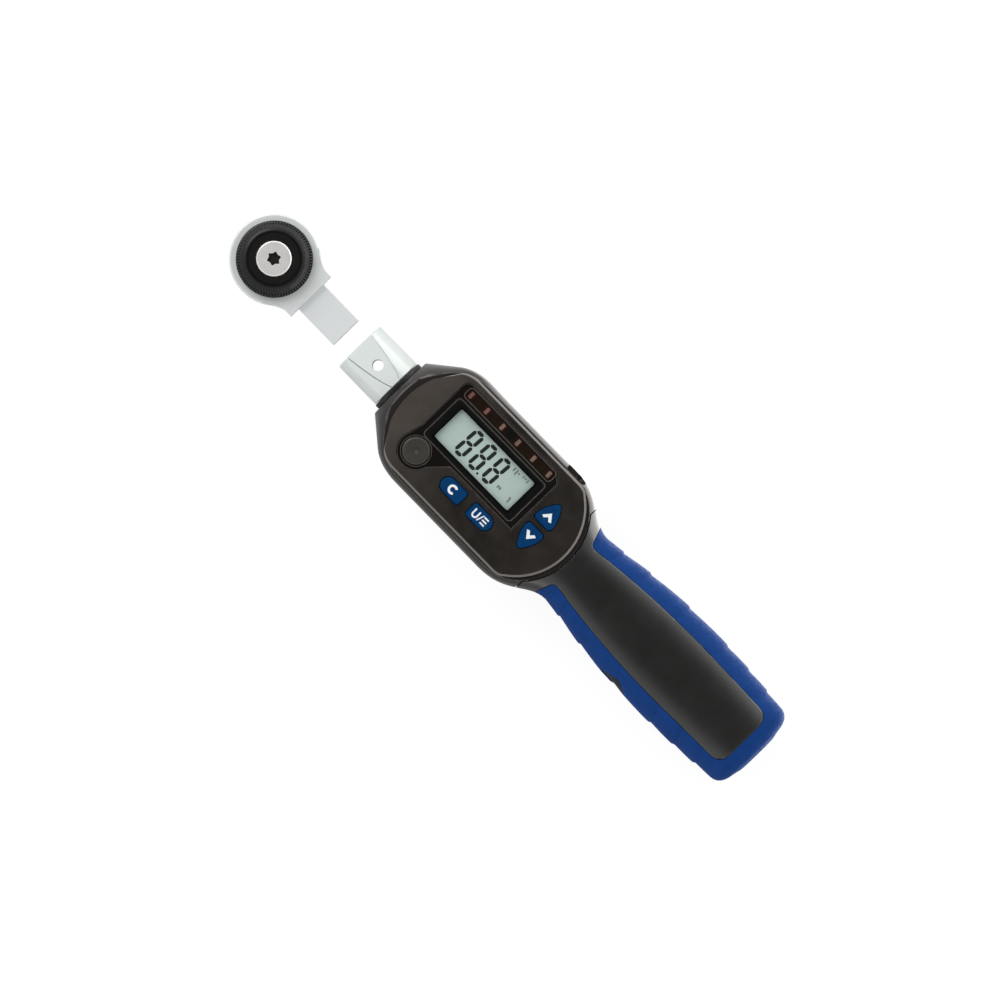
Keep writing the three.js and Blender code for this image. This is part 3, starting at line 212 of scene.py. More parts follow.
def makeDisplayFace():
    look = {"base": paint(197, 209, 207), "light": paint(204, 215, 213)}
    finish = Finish("displayFace", IOR=1.45)
    cloud = finish.noise(14, 2)
    finish.feed("Base Color", finish.mixed(finish.span(cloud, 0, 1), look["base"], look["light"]))
    finish.feed("Roughness", finish.span(finish.noise(0.5, 2), 0.45, 0.6))
    return finish.material


def makeGlass(name, tint, share, rough, base):
    finish = Finish(name, IOR=1.5)
    finish.feed("Base Color", finish.mixed(finish.span(finish.noise(5, 2), 0, 1), base, base))
    finish.feed("Roughness", finish.span(finish.noise(4, 3), rough * 0.8, rough * 1.3))
    facing = finish.out("ShaderNodeLayerWeight", "Fresnel", None, {"Blend": 0.1})
    outside = 1.0 - finish.out("ShaderNodeNewGeometry", "Backfacing")
    finish.seeThrough(tint, finish.maths("MAXIMUM", facing * outside, share))
    return finish.material


# Clear bodies; those at the low end of the scale are red ones
def makeLedBody():
    look = {"redBefore": mouthX + 0.0495, "red": paint(224, 184, 178), "white": paint(226, 216, 200),
            "glow": 0.4, "lensAbove": axisZ + 0.01262, "body": paint(74, 52, 46)}
    finish = Finish("ledBody", IOR=1.5)
    place = finish.add("ShaderNodeSeparateXYZ", None, {0: finish.point})
    isRed = finish.maths("LESS_THAN", Wire(finish, place.outputs[0]), look["redBefore"])
    isLens = finish.maths("GREATER_THAN", Wire(finish, place.outputs[2]), look["lensAbove"])
    colour = finish.mixed(isLens, look["body"], finish.mixed(isRed, look["white"], look["red"]))
    finish.feed("Base Color", colour)
    finish.feed("Emission Color", colour)
    finish.shader.inputs["Emission Strength"].default_value = look["glow"]
    finish.feed("Roughness", finish.span(finish.noise(1, 2), 0.2, 0.35))
    return finish.material


# Bright at the top, with painted shade down in the recess for the driver
def makeScrewWithPaintedShade():
    # The dark tone is painted shade for the recess
    look = {"low": axisZ + 0.01375, "dark": paint(38, 36, 36)}
    base, light = paint(223, 219, 217), paint(239, 236, 234)
    finish = Finish("screwHead", Metallic=0.45)
    height = finish.out("ShaderNodeSeparateXYZ", 2, None, {0: finish.point})
    top = finish.maths("GREATER_THAN", height, look["low"])
    streaks = finish.noise(0.9, 5, (14, 2, 2))
    steel = finish.mixed(finish.span(streaks, 0, 1), base, light)
    # Painted shade: below the top level the head takes the dark tone
    finish.feed("Base Color", finish.mixed(top, look["dark"], steel))
    finish.feed("Roughness", finish.span(finish.noise(0.6, 4), 0.28, 0.42))
    finish.bump(finish.noise(0.3, 3), 0.004)
    return finish.material


def makeBoardMask():
    finish = Finish("boardMask", IOR=1.5)
    brick = {"Vector": finish.point, "Scale": 420.0, "Mortar Size": 0.03,
             "Color1": paint(22, 84, 50), "Color2": paint(18, 72, 42), "Mortar": paint(52, 122, 74)}
    finish.feed("Base Color", finish.out("ShaderNodeTexBrick", 0, None, brick))
    finish.feed("Roughness", finish.span(finish.noise(3, 2), 0.3, 0.5))
    return finish.material


def makeGaugeFoil():
    finish = Finish("gaugeFoil", Metallic=0.6)
    wave = {"Vector": finish.point, "Scale": 900.0}
    lines = finish.out("ShaderNodeTexWave", "Fac", {"bands_direction": "Z"}, wave)
    finish.feed("Base Color", finish.mixed(lines, paint(170, 110, 60), paint(206, 160, 104)))
    finish.feed("Roughness", finish.span(finish.noise(1, 2), 0.3, 0.45))
    return finish.material


def makeBatterySkin():
    finish = Finish("batterySkin", IOR=1.5)
    cloud = finish.noise(6, 3)
    finish.feed("Base Color", finish.mixed(cloud, paint(120, 126, 133), paint(150, 155, 160)))
    finish.feed("Roughness", finish.span(finish.noise(2, 3), 0.25, 0.4))
    finish.feed("Metallic", finish.span(finish.noise(9, 2), 0.35, 0.5))
    return finish.material


finishes = {
    "holder_steel": satinSteel(
        "holderSteel", paint(221, 228, 224), paint(228, 234, 231),
        0.42, (40, 1, 1), metal=0.12),
    "head_steel": satinSteel(
        "headSteel", paint(222, 225, 225), paint(229, 232, 232),
        0.4, (6, 6, 1), metal=0.12),
    "drive_steel": satinSteel("driveSteel", paint(190, 193, 194), paint(205, 207, 207), 0.35, (2, 2, 12)),
    "bright_steel": satinSteel(
        "brightSteel", paint(206, 208, 208), paint(222, 223, 223),
        0.2, (3, 3, 3), metal=0.9),
    "screw_steel": satinSteel("screwSteel", paint(206, 202, 200), paint(222, 219, 217), 0.34, (14, 2, 2)),
    "dark_steel": satinSteel(
        "darkSteel", paint(88, 91, 93), paint(112, 115, 117),
        0.38, (4, 4, 4), metal=0.8),
    "contact_brass": satinSteel(
        "contactBrass", paint(190, 152, 78), paint(216, 178, 102),
        0.3, (3, 3, 3), metal=0.9),
    "housing_plastic": mouldedPlastic("smokyHousing", paint(34, 30, 28), paint(42, 37, 35), 0.24, gloss=0.6),
    # The cover carries painted light, lighter towards the front along X, and painted highlights on its edge faces
    "cover_plastic": mouldedPlastic("smokyCover", paint(29, 26, 23), paint(72, 66, 61), 0.22, gloss=0.6,
                                    paintedLightAlongX=(mouthX + 0.03, mouthX + 0.055), edge=paint(100, 95, 89)),
    # Painted highlights on the window panel's edge faces
    "window_plastic": mouldedPlastic("windowPlastic", paint(15, 12, 11), paint(22, 18, 16), 0.14, gloss=0.4,
                                     edge=paint(98, 93, 88)),
    # Painted highlights on the bezel's edge faces
    "bezel_plastic": mouldedPlastic(
        "bezelPlastic", paint(4, 4, 4), paint(8, 8, 8),
        0.3, gloss=0.3, edge=paint(92, 88, 84)),
    "handle_plastic": mouldedPlastic(
        "handlePlastic", paint(10, 8, 6), paint(13, 10, 8),
        0.33, 0.008, 20, 0.9),
    "seal_rubber": mouldedPlastic("sealRubber", paint(14, 13, 15), paint(20, 18, 20), 0.45, 0.02),
    "plug_rubber": mouldedPlastic("plugRubber", paint(10, 12, 17), paint(15, 17, 23), 0.6, 0.03),
    "keypad_rubber": mouldedPlastic("keypadRubber", paint(16, 16, 16), paint(22, 22, 22), 0.6, 0.02),
    "buzzer_black": mouldedPlastic("buzzerBlack", paint(18, 18, 18), paint(28, 28, 28), 0.4, 0.01),
    "key_grey": mouldedPlastic("keyGrey", paint(52, 50, 45), paint(59, 56, 51), 0.32, 0.006, 4, 0.5),
    "key_blue": mouldedPlastic("keyBlue", paint(0, 52, 98), paint(1, 58, 106), 0.35, 0.004, 4, 0.15),
    "led_body": makeLedBody(),
    "dial_black": mouldedPlastic("dialBlack", paint(9, 10, 9), paint(13, 15, 13), 0.33, 0.006, 5, 0.35),
    "grip_blue": makeGripRubber(),
    "lcd_face": makeDisplayFace(),
    "display_glass": makeGlass("displayGlass", (0.96, 0.98, 0.97, 1), 0.02, 0.06, paint(20, 22, 21)),
    "light_bar_plastic": makeGlass("smokyLens", (0.78, 0.7, 0.66, 1), 0.24, 0.14, paint(56, 36, 33)),
    "board_green": makeBoardMask(),
    "gauge_foil": makeGaugeFoil(),
    "battery_skin": makeBatterySkin(),
}
inkDark = mouldedPlastic("displayInk", paint(20, 26, 25), paint(28, 34, 33), 0.5, 0, 3)
inkFaint = mouldedPlastic("faintInk", paint(96, 110, 104), paint(112, 126, 120), 0.5, 0, 3)
inkWhite = mouldedPlastic("legendWhite", paint(232, 236, 240), paint(246, 248, 250), 0.45, 0, 3)
print("finishes made:", len(finishes) + 3)

screwHead = makeScrewWithPaintedShade()
record = frame["record"]
slotOf = {part["node"]: part["material_slot"] for part in record["subparts"]}
bodyOf = {node: body for body, nodes in record["behaviour"]["bodies"].items() for node in nodes}

for node, obj in frame["nodes"].items():  # every CAD node takes its slot's finish
    obj.data.materials.clear()
    obj.data.materials.append(finishes[slotOf[node]])


# Shapes

def newPiece(name, mesh):
    obj = bpy.data.objects.new(name, mesh)
    scene.collection.objects.link(obj)
    return obj


def fromBm(name, bm):
    bmesh.ops.recalc_face_normals(bm, faces=bm.faces)
    mesh = bpy.data.meshes.new(name)
    bm.to_mesh(mesh)
    bm.free()
    return newPiece(name, mesh)


class Pen:
    def __init__(self, x, y, steps=8):
        self.points = [(x, y)]
        self.steps = steps

    def line(self, x, y):
        self.points.append((x, y))

    def quad(self, controlX, controlY, x, y):
        x0, y0 = self.points[-1]
        for i in range(1, self.steps + 1):
            t = i / self.steps
            a, b, c = (1 - t) ** 2, 2 * t * (1 - t), t * t
            self.line(a * x0 + b * controlX + c * x, a * y0 + b * controlY + c * y)

    def cubic(self, x1, y1, x2, y2, x3, y3, steps=16):
        x0, y0 = self.points[-1]
        for i in range(1, steps + 1):
            t = i / steps
            a, b, c, d = (1 - t) ** 3, 3 * t * (1 - t) ** 2, 3 * t * t * (1 - t), t ** 3
            self.line(a * x0 + b * x1 + c * x2 + d * x3, a * y0 + b * y1 + c * y2 + d * y3)

    def arc(self, centreX, centreY, radius, start, end, steps=None):
        count = steps or max(3, round(abs(end - start) / 6))
        for i in range(count + 1):
            angle = math.radians(start + (end - start) * i / count)
            self.line(centreX + radius * math.cos(angle), centreY + radius * math.sin(angle))


def tidyLoop(points, least=0.02):
    kept = []
    for point in points:
        if not kept or math.dist(point, kept[-1]) > least:
            kept.append(point)
    if math.dist(kept[0], kept[-1]) <= least:
        kept.pop()
    area = sum(a[0] * b[1] - a[1] * b[0] for a, b in zip(kept, kept[1:] + kept[:1]))
    return kept if area > 0 else kept[::-1]


def roundedBox(x0, x1, y0, y1, radius):
    pen = Pen(x0 + radius, y0)
    pen.arc(x1 - radius, y0 + radius, radius, -90, 0, 5)
    pen.arc(x1 - radius, y1 - radius, radius, 0, 90, 5)
    pen.arc(x0 + radius, y1 - radius, radius, 90, 180, 5)
    pen.arc(x0 + radius, y0 + radius, radius, 180, 270, 5)
    return pen.points


def circle(x, y, radius, steps=48):
    pen = Pen(x + radius, y)
    pen.arc(x, y, radius, 0, 360, steps)
    return pen.points


# A flat piece from an outline and its holes; its top and bottom edges may be rounded
def plate(name, outline, low, high, holes=(), top=0.0, bottom=0.0, segments=3):
    bm = bmesh.new()
    for loop in [outline, *holes]:
        corners = [bm.verts.new((x, y, low)) for x, y in tidyLoop(loop)]
        for a, b in zip(corners, corners[1:] + corners[:1]):
            bm.edges.new((a, b))
    bmesh.ops.triangle_fill(bm, use_beauty=True, use_dissolve=False, edges=bm.edges[:])
    made = bmesh.ops.extrude_face_region(bm, geom=bm.faces[:])
    raised = [v for v in made["geom"] if isinstance(v, bmesh.types.BMVert)]
    bmesh.ops.translate(bm, verts=raised, vec=(0, 0, high - low))
    obj = fromBm(name, bm)
    for level, size in ((high, top), (low, bottom)):
        if size:
            roundEdges(obj, size, segments, level)
    return obj


# A closed piece through outlines with the same number of points, each at its own height
def stacked(name, *outlines):
    bm = bmesh.new()
    loops = [[bm.verts.new((x, y, z)) for x, y in outline] for outline, z in outlines]
    for low, high in zip(loops, loops[1:]):
        for i in range(len(low)):
            bm.faces.new((low[i - 1], low[i], high[i], high[i - 1]))
    bm.faces.new(loops[0])
    bm.faces.new(loops[-1])
    bmesh.ops.remove_doubles(bm, verts=bm.verts[:], dist=1e-4)
    bmesh.ops.recalc_face_normals(bm, faces=bm.faces[:])
    return fromBm(name, bm)


# Rounds the sharp edges at one level, or all of them
def roundEdges(obj, size, segments=2, level=None, angle=35, clamp=True):
    bm = bmesh.new()
    bm.from_mesh(obj.data)
    least = math.radians(angle)
    chosen = []
    for edge in bm.edges:
        if len(edge.link_faces) != 2 or edge.calc_face_angle(0) < least:
            continue
        if level is None or all(abs(v.co.z - level) < 1e-4 for v in edge.verts):
            chosen.append(edge)
    bmesh.ops.bevel(bm, geom=chosen, offset=size, offset_type="OFFSET", segments=segments,
                    profile=0.5, affect="EDGES", clamp_overlap=clamp)
    bm.to_mesh(obj.data)
    bm.free()
    return obj


# A turned piece: profile points are (radius, distance along the axis)
def turned(name, profile, sides=72, axis="z", centre=(0, 0, 0), closed=False):
    bm = bmesh.new()
    rings = []
    for radius, along in profile:
        if radius < 1e-6:
            rings.append([bm.verts.new((0, 0, along))])
            continue
        turn = [2 * math.pi * i / sides for i in range(sides)]
        rings.append([bm.verts.new((radius * math.cos(a), radius * math.sin(a), along)) for a in turn])
    pairs = list(zip(rings, rings[1:] + (rings[:1] if closed else [])))
    for low, high in pairs if closed else pairs[:len(rings) - 1]:
        for i in range(sides):
            j = (i + 1) % sides
            corners = {(low[i % len(low)]), (low[j % len(low)]), (high[j % len(high)]), (high[i % len(high)])}
            loop = [low[i % len(low)], low[j % len(low)], high[j % len(high)], high[i % len(high)]]
            face = [v for k, v in enumerate(loop) if v not in loop[:k]]
            if len(corners) > 2:
                bm.faces.new(face)
    turns = {"z": Matrix(), "x": Matrix.Rotation(math.pi / 2, 4, "Y"),
             "y": Matrix.Rotation(-math.pi / 2, 4, "X")}
    bm.transform(Matrix.Translation(centre) @ turns[axis])
    return fromBm(name, bm)


def rod(name, radius, start, end, axis="z", centre=(0, 0, 0), sides=48):
    return turned(name, [(0, start), (radius, start), (radius, end), (0, end)], sides, axis, centre)


def block(name, x0, x1, y0, y1, z0, z1):
    return plate(name, [(x0, y0), (x1, y0), (x1, y1), (x0, y1)], z0, z1)


def applied(obj):
    graph = bpy.context.evaluated_depsgraph_get()
    mesh = bpy.data.meshes.new_from_object(obj.evaluated_get(graph))
    obj.modifiers.clear()
    obj.data = mesh
    return obj


def duplicate(obj, name):
    return newPiece(name, obj.data.copy())


def combine(obj, operation, *tools):
    for tool in tools:
        modifier = obj.modifiers.new(operation.lower(), "BOOLEAN")
        modifier.operation = operation
        modifier.solver = "MANIFOLD"
        modifier.object = tool
    applied(obj)
    for tool in tools:
        bpy.data.objects.remove(tool)
    return obj


def cut(obj, *tools):
    return combine(obj, "DIFFERENCE", *tools)


def keep(obj, *tools):
    return combine(obj, "INTERSECT", *tools)


def join(obj, *tools):
    return combine(obj, "UNION", *tools)


# A clean copy of a CAD node, back in drawing millimetres
def copied(name, node):
    obj = newPiece(name, frame["nodes"][node].data.copy())
    bm = bmesh.new()
    bm.from_mesh(obj.data)
    bmesh.ops.transform(bm, matrix=toRow.inverted(), verts=bm.verts)
    bmesh.ops.remove_doubles(bm, verts=bm.verts, dist=2e-3)
    bmesh.ops.dissolve_limit(bm, angle_limit=math.radians(1), verts=bm.verts, edges=bm.edges)
    bmesh.ops.recalc_face_normals(bm, faces=bm.faces)
    bm.to_mesh(obj.data)
    bm.free()
    return obj


# The finished piece: in the row frame, smooth but for its sharp edges, riding on its node's body
def settle(obj, nodes, finish=None, sharp=32, body=None):
    nodes = [nodes] if isinstance(nodes, str) else list(nodes)
    obj.data.transform(toRow)
    obj.data.materials.clear()
    obj.data.materials.append(finish or finishes[slotOf[nodes[0]]])
    obj.data.polygons.foreach_set("material_index", [0] * len(obj.data.polygons))
    obj.data.shade_smooth()
    obj.data.set_sharp_from_angle(angle=math.radians(sharp))
    modifier = obj.modifiers.new("evenNormals", "WEIGHTED_NORMAL")
    modifier.keep_sharp = True
    applied(obj)
    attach(obj, body or bodyOf[nodes[0]])
    return obj


def standIn(obj, *nodes, sharp=32, finish=None):
    settle(obj, nodes, finish, sharp)
    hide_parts(*nodes)
    return obj


# Body outline

bodyShape = {
    "start": 20.0, "straight": 42.0, "waist": 82.0, "handle": 106.0, "end": 194.2,
    "startWidth": 12.2, "halfWidth": 23.6, "halfHeight": 16.4, "back": 16.0,
    "neckWidth": 14.8, "neckHeight": 14.3, "gripWidth": 19.0, "gripHeight": 15.2,
    "endWidth": 17.0, "endHeight": 14.0,
    "scales": (113.0, 124.5, 142.0, 160.5, 171.5, 181.0, 191.5), "scaleDepth": 0.55,
}


def planLine():
    b = bodyShape
    length = b["end"] - b["handle"]
    pen = Pen(b["start"], b["startWidth"])
    pen.line(b["straight"] - 12.5, b["startWidth"] + (b["halfWidth"] - b["startWidth"]) * 0.68)
    pen.quad(b["straight"] - 7.8, b["halfWidth"], b["straight"], b["halfWidth"])
    pen.line(b["waist"], b["halfWidth"])
    pen.cubic(b["waist"] + 13.5, b["halfWidth"], b["waist"] + 16, b["neckWidth"] + 0.2,
              b["handle"], b["neckWidth"])
    pen.cubic(b["handle"] + 10, b["neckWidth"] + 1, b["handle"] + 24, b["gripWidth"],
              b["handle"] + length * 0.53, b["gripWidth"])
    pen.cubic(b["handle"] + length * 0.7, b["gripWidth"], b["end"] - 14, b["endWidth"] + 0.8,
              b["end"] - 5.6, b["endWidth"])
    pen.quad(b["end"] - 1.2, b["endWidth"] - 0.4, b["end"] - 0.7, b["endWidth"] - 6)
    pen.line(b["end"], b["endWidth"] - 9)
    return np.array(pen.points)


def sideLine():
    b = bodyShape
    pen = Pen(b["start"], b["startWidth"])
    pen.line(b["start"] + 2.4, 14.8)
    pen.line(b["start"] + 8, b["halfHeight"])
    pen.line(b["waist"] + 8, b["halfHeight"])
    pen.cubic(b["waist"] + 14, b["halfHeight"], b["waist"] + 18, b["neckHeight"],
              b["handle"], b["neckHeight"])
    pen.quad(b["handle"] + 24, b["gripHeight"],
             b["handle"] + (b["end"] - b["handle"]) * 0.53, b["gripHeight"])
    pen.quad(b["end"] - 24, b["gripHeight"], b["end"] - 5.6, b["endHeight"])
    pen.quad(b["end"] - 1, b["endHeight"] - 1, b["end"] - 0.7, b["endHeight"] - 4.6)
    pen.line(b["end"], b["endHeight"] - 7)
    return np.array(pen.points)


planOfBody, sideOfBody = planLine(), sideLine()
fullness = np.array([(20, 2.2), (30, 4.6), (38, 6), (88, 6), (106, 2.9), (194.2, 2.7)])


# How far the grip's skin is sunk: each scale rises to its edge and then drops
def scaleSink(x, side):
    edges = bodyShape["scales"]
    if side <= 0 or x < edges[0] - 8:
        return 0.0
    last = max((e for e in edges if e <= x), default=edges[0] - 9)
    following = next((e for e in edges if e > x), None)
    if following is None or x < edges[0]:
        return 0.0
    share = (x - last) / (following - last)
    drop = min(share / 0.06, 1)
    return bodyShape["scaleDepth"] * side * drop * (1 - share) ** 1.5


def bodyRing(x, source, insetWidth, insetHeight, around, scaled):
    width = np.interp(source, *planOfBody.T) - insetWidth
    height = np.interp(source, *sideOfBody.T) - insetHeight
    power = 2 / np.interp(source, *fullness.T)
    ring = []
    for i in range(around):
        angle = 2 * math.pi * i / around
        c, s = math.cos(angle), math.sin(angle)
        side = max(0.0, min(1.0, (abs(c) - 0.42) / 0.35)) if scaled else 0.0
        bend = 3.0 * (s * s)  # the scales' edges curve back over the top and the bottom
        sink = scaleSink(source + bend, side * side * (3 - 2 * side))
        y = (width - sink) * math.copysign(abs(c) ** power, c)
        z = (height - sink * 0.6) * math.copysign(abs(s) ** power, s)
        ring.append((x, y, z))
    return ring


def bodyLoft(name, start, end, insetWidth=0.0, insetHeight=0.0, around=32, step=4.0, scaled=False):
    endInset = bodyShape["end"] - end
    middle = (bodyShape["handle"] + bodyShape["end"]) / 2
    sources = sorted({*planOfBody[:, 0], *np.arange(start, bodyShape["end"], step), start})
    bm = bmesh.new()
    rings, last = [], -1e9
    for source in sources:
        follow = max(0, (source - middle) / (bodyShape["end"] - middle))
        x = source - endInset * follow
        if x < start - 1e-6 or source - last < 0.12:
            continue
        if x > end + 1e-6:
            break
        points = bodyRing(x, source, insetWidth, insetHeight, around, scaled)
        rings.append([bm.verts.new(p) for p in points])
        last = source
    for a, b in zip(rings, rings[1:]):
        for i in range(around):
            j = (i + 1) % around
            bm.faces.new((a[i], a[j], b[j], b[i]))
    bm.faces.new(rings[0])
    bm.faces.new(rings[-1])
    return fromBm(name, bm)


seam = {"x": 95.9, "radius": 24.8, "centre": 77.1}


def housingRegion(grow=0.0):
    radius, edge = seam["radius"] + grow, seam["x"] + grow
    angle = math.degrees(math.acos((edge - seam["centre"]) / radius))
    pen = Pen(-60, -60)
    pen.line(edge, -60)
    pen.arc(seam["centre"], 0, radius, -angle, angle, 40)
    pen.line(edge, 60)
    pen.line(-60, 60)
    return pen.points


coverShape = {"halfWidth": 21.0, "edge": 0.75, "drop": 0.5, "front": 27.0, "rear": 24.0}


def coverOutline(inset=0.0):
    half, rear = coverShape["halfWidth"] - inset, coverShape["rear"] - inset
    front = coverShape["front"] - inset
    rearCentre = bodyShape["handle"] - 5.7 - coverShape["rear"]
    frontCentre = bodyShape["start"] + 3.9 + coverShape["front"]
    rearAngle = math.degrees(math.asin((half - 1.5) / rear))
    frontAngle = math.degrees(math.asin((coverShape["halfWidth"] * 0.49 - inset * 0.4) / front))
    corner = bodyShape["straight"] - 6
    rearX = rearCentre + rear * math.cos(math.radians(rearAngle))
    pen = Pen(corner + 2, half)
    pen.quad(corner - 2.5, half, corner - 4.8, half - 2.6)
    pen.arc(frontCentre, 0, front, 180 - frontAngle, 180 + frontAngle, 14)
    pen.line(corner - 4.8, 2.6 - half)
    pen.quad(corner - 2.5, -half, corner + 2, -half)
    pen.line(rearX - 4.4, -half)
    pen.quad(rearX - 1.2, -half, rearX, 1.5 - half)
    pen.arc(rearCentre, 0, rear, -rearAngle, rearAngle, 28)
    pen.quad(rearX - 1.2, half, rearX - 4.4, half)
    return pen.points


windowShape = {"start": 34.2, "bottom": -6.8, "length": 46.8, "width": 25.4, "lobe": 6.8}
roundKeyAt = (windowShape["start"] + 5, windowShape["bottom"] - 4.2)


def windowOutline(inset=0.0):
    x0, x1 = windowShape["start"] + inset, windowShape["start"] + windowShape["length"] - inset
    y0, y1 = windowShape["bottom"] + inset, windowShape["bottom"] + windowShape["width"] - inset
    x, y = roundKeyAt
    lobe = windowShape["lobe"] - inset
    pen = Pen(x0, y1 - 3)
    pen.line(x0, y0 + 3.8)
    pen.arc(x, y, lobe, 156, 346, 36)
    pen.line(x + windowShape["lobe"] + 5.2, y0)
    pen.line(x1, y0)
    pen.line(x1, y1 - 3.2)
    pen.line(x1 - 3.2, y1)
    pen.line(x0 + 3, y1)
    pen.quad(x0, y1, x0, y1 - 3)
    return pen.points


softKey = {"length": 9.7, "width": 5.6, "corner": 1.2, "y": -11.3}
arrowKey = {"x": 86.65, "length": 7.5, "width": 8.9, "corner": 1.4, "spacing": 2.2, "middle": 1.0}


def softKeyOutline(centreX, side, grow=0.0):
    r, half = softKey["width"] / 2 + grow, softKey["length"] / 2 + grow
    corner = softKey["corner"] + grow
    pen = Pen(half - r, r)
    pen.arc(half - r, 0, r, 90, -90, 20)
    pen.line(corner - half, -r)
    pen.quad(-half, -r, -half, corner - r)
    pen.line(-half, r - corner)
    pen.quad(-half, r, corner - half, r)
    return [(centreX + side * x, softKey["y"] + y) for x, y in pen.points]


def arrowKeyOutline(side, grow=0.0):
    half, corner = arrowKey["length"] / 2 + grow, arrowKey["corner"]
    tall = arrowKey["width"] + 2 * grow
    base = arrowKey["middle"] + side * (arrowKey["spacing"] / 2 - grow)
    pen = Pen(corner - half, 0)
    pen.line(half - corner, 0)
    pen.quad(half, 0, half, corner)
    pen.quad(half * 1.02, tall * 0.5, half * 0.28, tall * 0.93)
    pen.quad(0, tall * 1.07, -half * 0.28, tall * 0.93)
    pen.quad(-half * 1.02, tall * 0.5, -half, corner)
    pen.quad(-half, 0, corner - half, 0)
    return [(arrowKey["x"] + x, base + side * y) for x, y in pen.points]


def keyOutline(name, grow=0.0):
    if name == "clear_key":
        return softKeyOutline(57.3, -1, grow)
    if name == "unit_key":
        return softKeyOutline(70.7, 1, grow)
    return arrowKeyOutline(1 if name == "up_key" else -1, grow)


softKeys = ("clear_key", "unit_key", "up_key", "down_key")


def panelOutline(grow=0.0):
    b = bodyShape
    end = b["end"] - 6.8 + grow
    slantX, innerX = b["handle"] - 4.4 + grow, b["handle"] - 2.6 + grow
    pen = Pen(slantX, 40)
    pen.line(slantX, b["neckWidth"] + 1)
    pen.line(innerX, 10.7 + grow)
    pen.quad(innerX + 0.4, 8.9 + grow, innerX + 2.4, 8.9 + grow)
    pen.quad(b["handle"] + 24, 12.2 + grow, b["handle"] + 48.5, 12.2 + grow)
    pen.line(end - 5, 11.6 + grow)
    pen.quad(end, 11.6 + grow, end, 6.6 + grow)
    half = pen.points
    return [(75, 40), *half, *[(x, -y) for x, y in half[::-1]], (75, -40)]


# Housing

screwPlaces = [(x, y) for x in (40.0, 86.05) for y in (-17.5, 17.5)]


def slab(low, high):
    return block("slab", -60, 260, -60, 60, low, high)


# The tongue of the housing that reaches into the handle, which hides the seam's gap
def tongue(name, inset, reach):
    body = bodyLoft(name, 88, 112, inset, inset, 112, 1.2)
    return keep(body, plate("reach", housingRegion(reach), -40, 40))


def makeHousing():
    whole = bodyLoft("whole", 20, 112, around=112, step=1.2)
    keep(whole, plate("region", housingRegion(), -40, 40))
    join(whole, tongue("tongue", 0.9, 1.6))
    keep(whole, slab(-16, deckLevel))
    inside = duplicate(whole, "inside")
    cavity = keep(bodyLoft("cavity", 24.6, 112, 2.2, 2.2), slab(-13.8, 12.6))
    shell = cut(whole, cavity, rod("neckHole", 7.8, 15, 30, "x"))
    front = duplicate(shell, "housingFront")
    keep(front, slab(gap / 2, 40))
    cut(front, plate("opening", coverOutline(2.4), 9, 20),
        plate("notch", roundedBox(79, 87.4, 21.2, 26, 0.8), 11.4, 20),
        rod("port", 1.0, 10.2, 20, centre=(84.6, 22.1, 0), sides=32))
    back = keep(shell, slab(-40, -gap / 2))
    back.name = "housingBack"
    for x, y in screwPlaces:
        boss = rod("boss", 3.4, -15, -gap / 2, centre=(x, y, 0))
        join(back, keep(boss, duplicate(inside, "room")))
    bpy.data.objects.remove(inside)
    for x, y in screwPlaces:
        cut(back, rod("hole", 1.5, -20, 1, centre=(x, y, 0)), rod("sink", 3.0, -20, -12.5, centre=(x, y, 0)))
    for obj, node in ((front, "housing_front"), (back, "housing_back")):
        roundEdges(obj, 0.25, 2, clamp=False)
        standIn(obj, node)


makeHousing()
print("housing made")


# Handle

plugShape = {"x": 142.0, "length": 12.4, "low": -4.4, "high": 9.4, "gap": 0.15}
hatchShape = {"start": 132.0, "end": 183.5, "halfWidth": 11.0, "corner": 2.0, "thickness": 2.0, "ledge": 1.5}
anchorX = (111.0, 121.0)
coreEnd = bodyShape["end"] - 2.6


def handleLoft(name, end, insetWidth, insetHeight):
    return bodyLoft(name, 75.9, end, insetWidth, insetHeight, 48, 3)


def stadium(grow, y0, y1):
    dx = plugShape["length"] / 2 + grow
    outline = roundedBox(-dx, dx, plugShape["low"] - grow, plugShape["high"] + grow, dx - 0.01)
    obj = plate("stadium", outline, y0, y1)
    obj.data.transform(Matrix.Translation((plugShape["x"], 0, 0)) @ Matrix.Rotation(math.pi / 2, 4, "X"))
    return obj


def hatchOutline(grow=0.0, shorter=0.0):
    h = hatchShape
    return roundedBox(h["start"] - grow + shorter, h["end"] + grow - shorter,
                      -h["halfWidth"] - grow, h["halfWidth"] + grow, h["corner"] + grow)


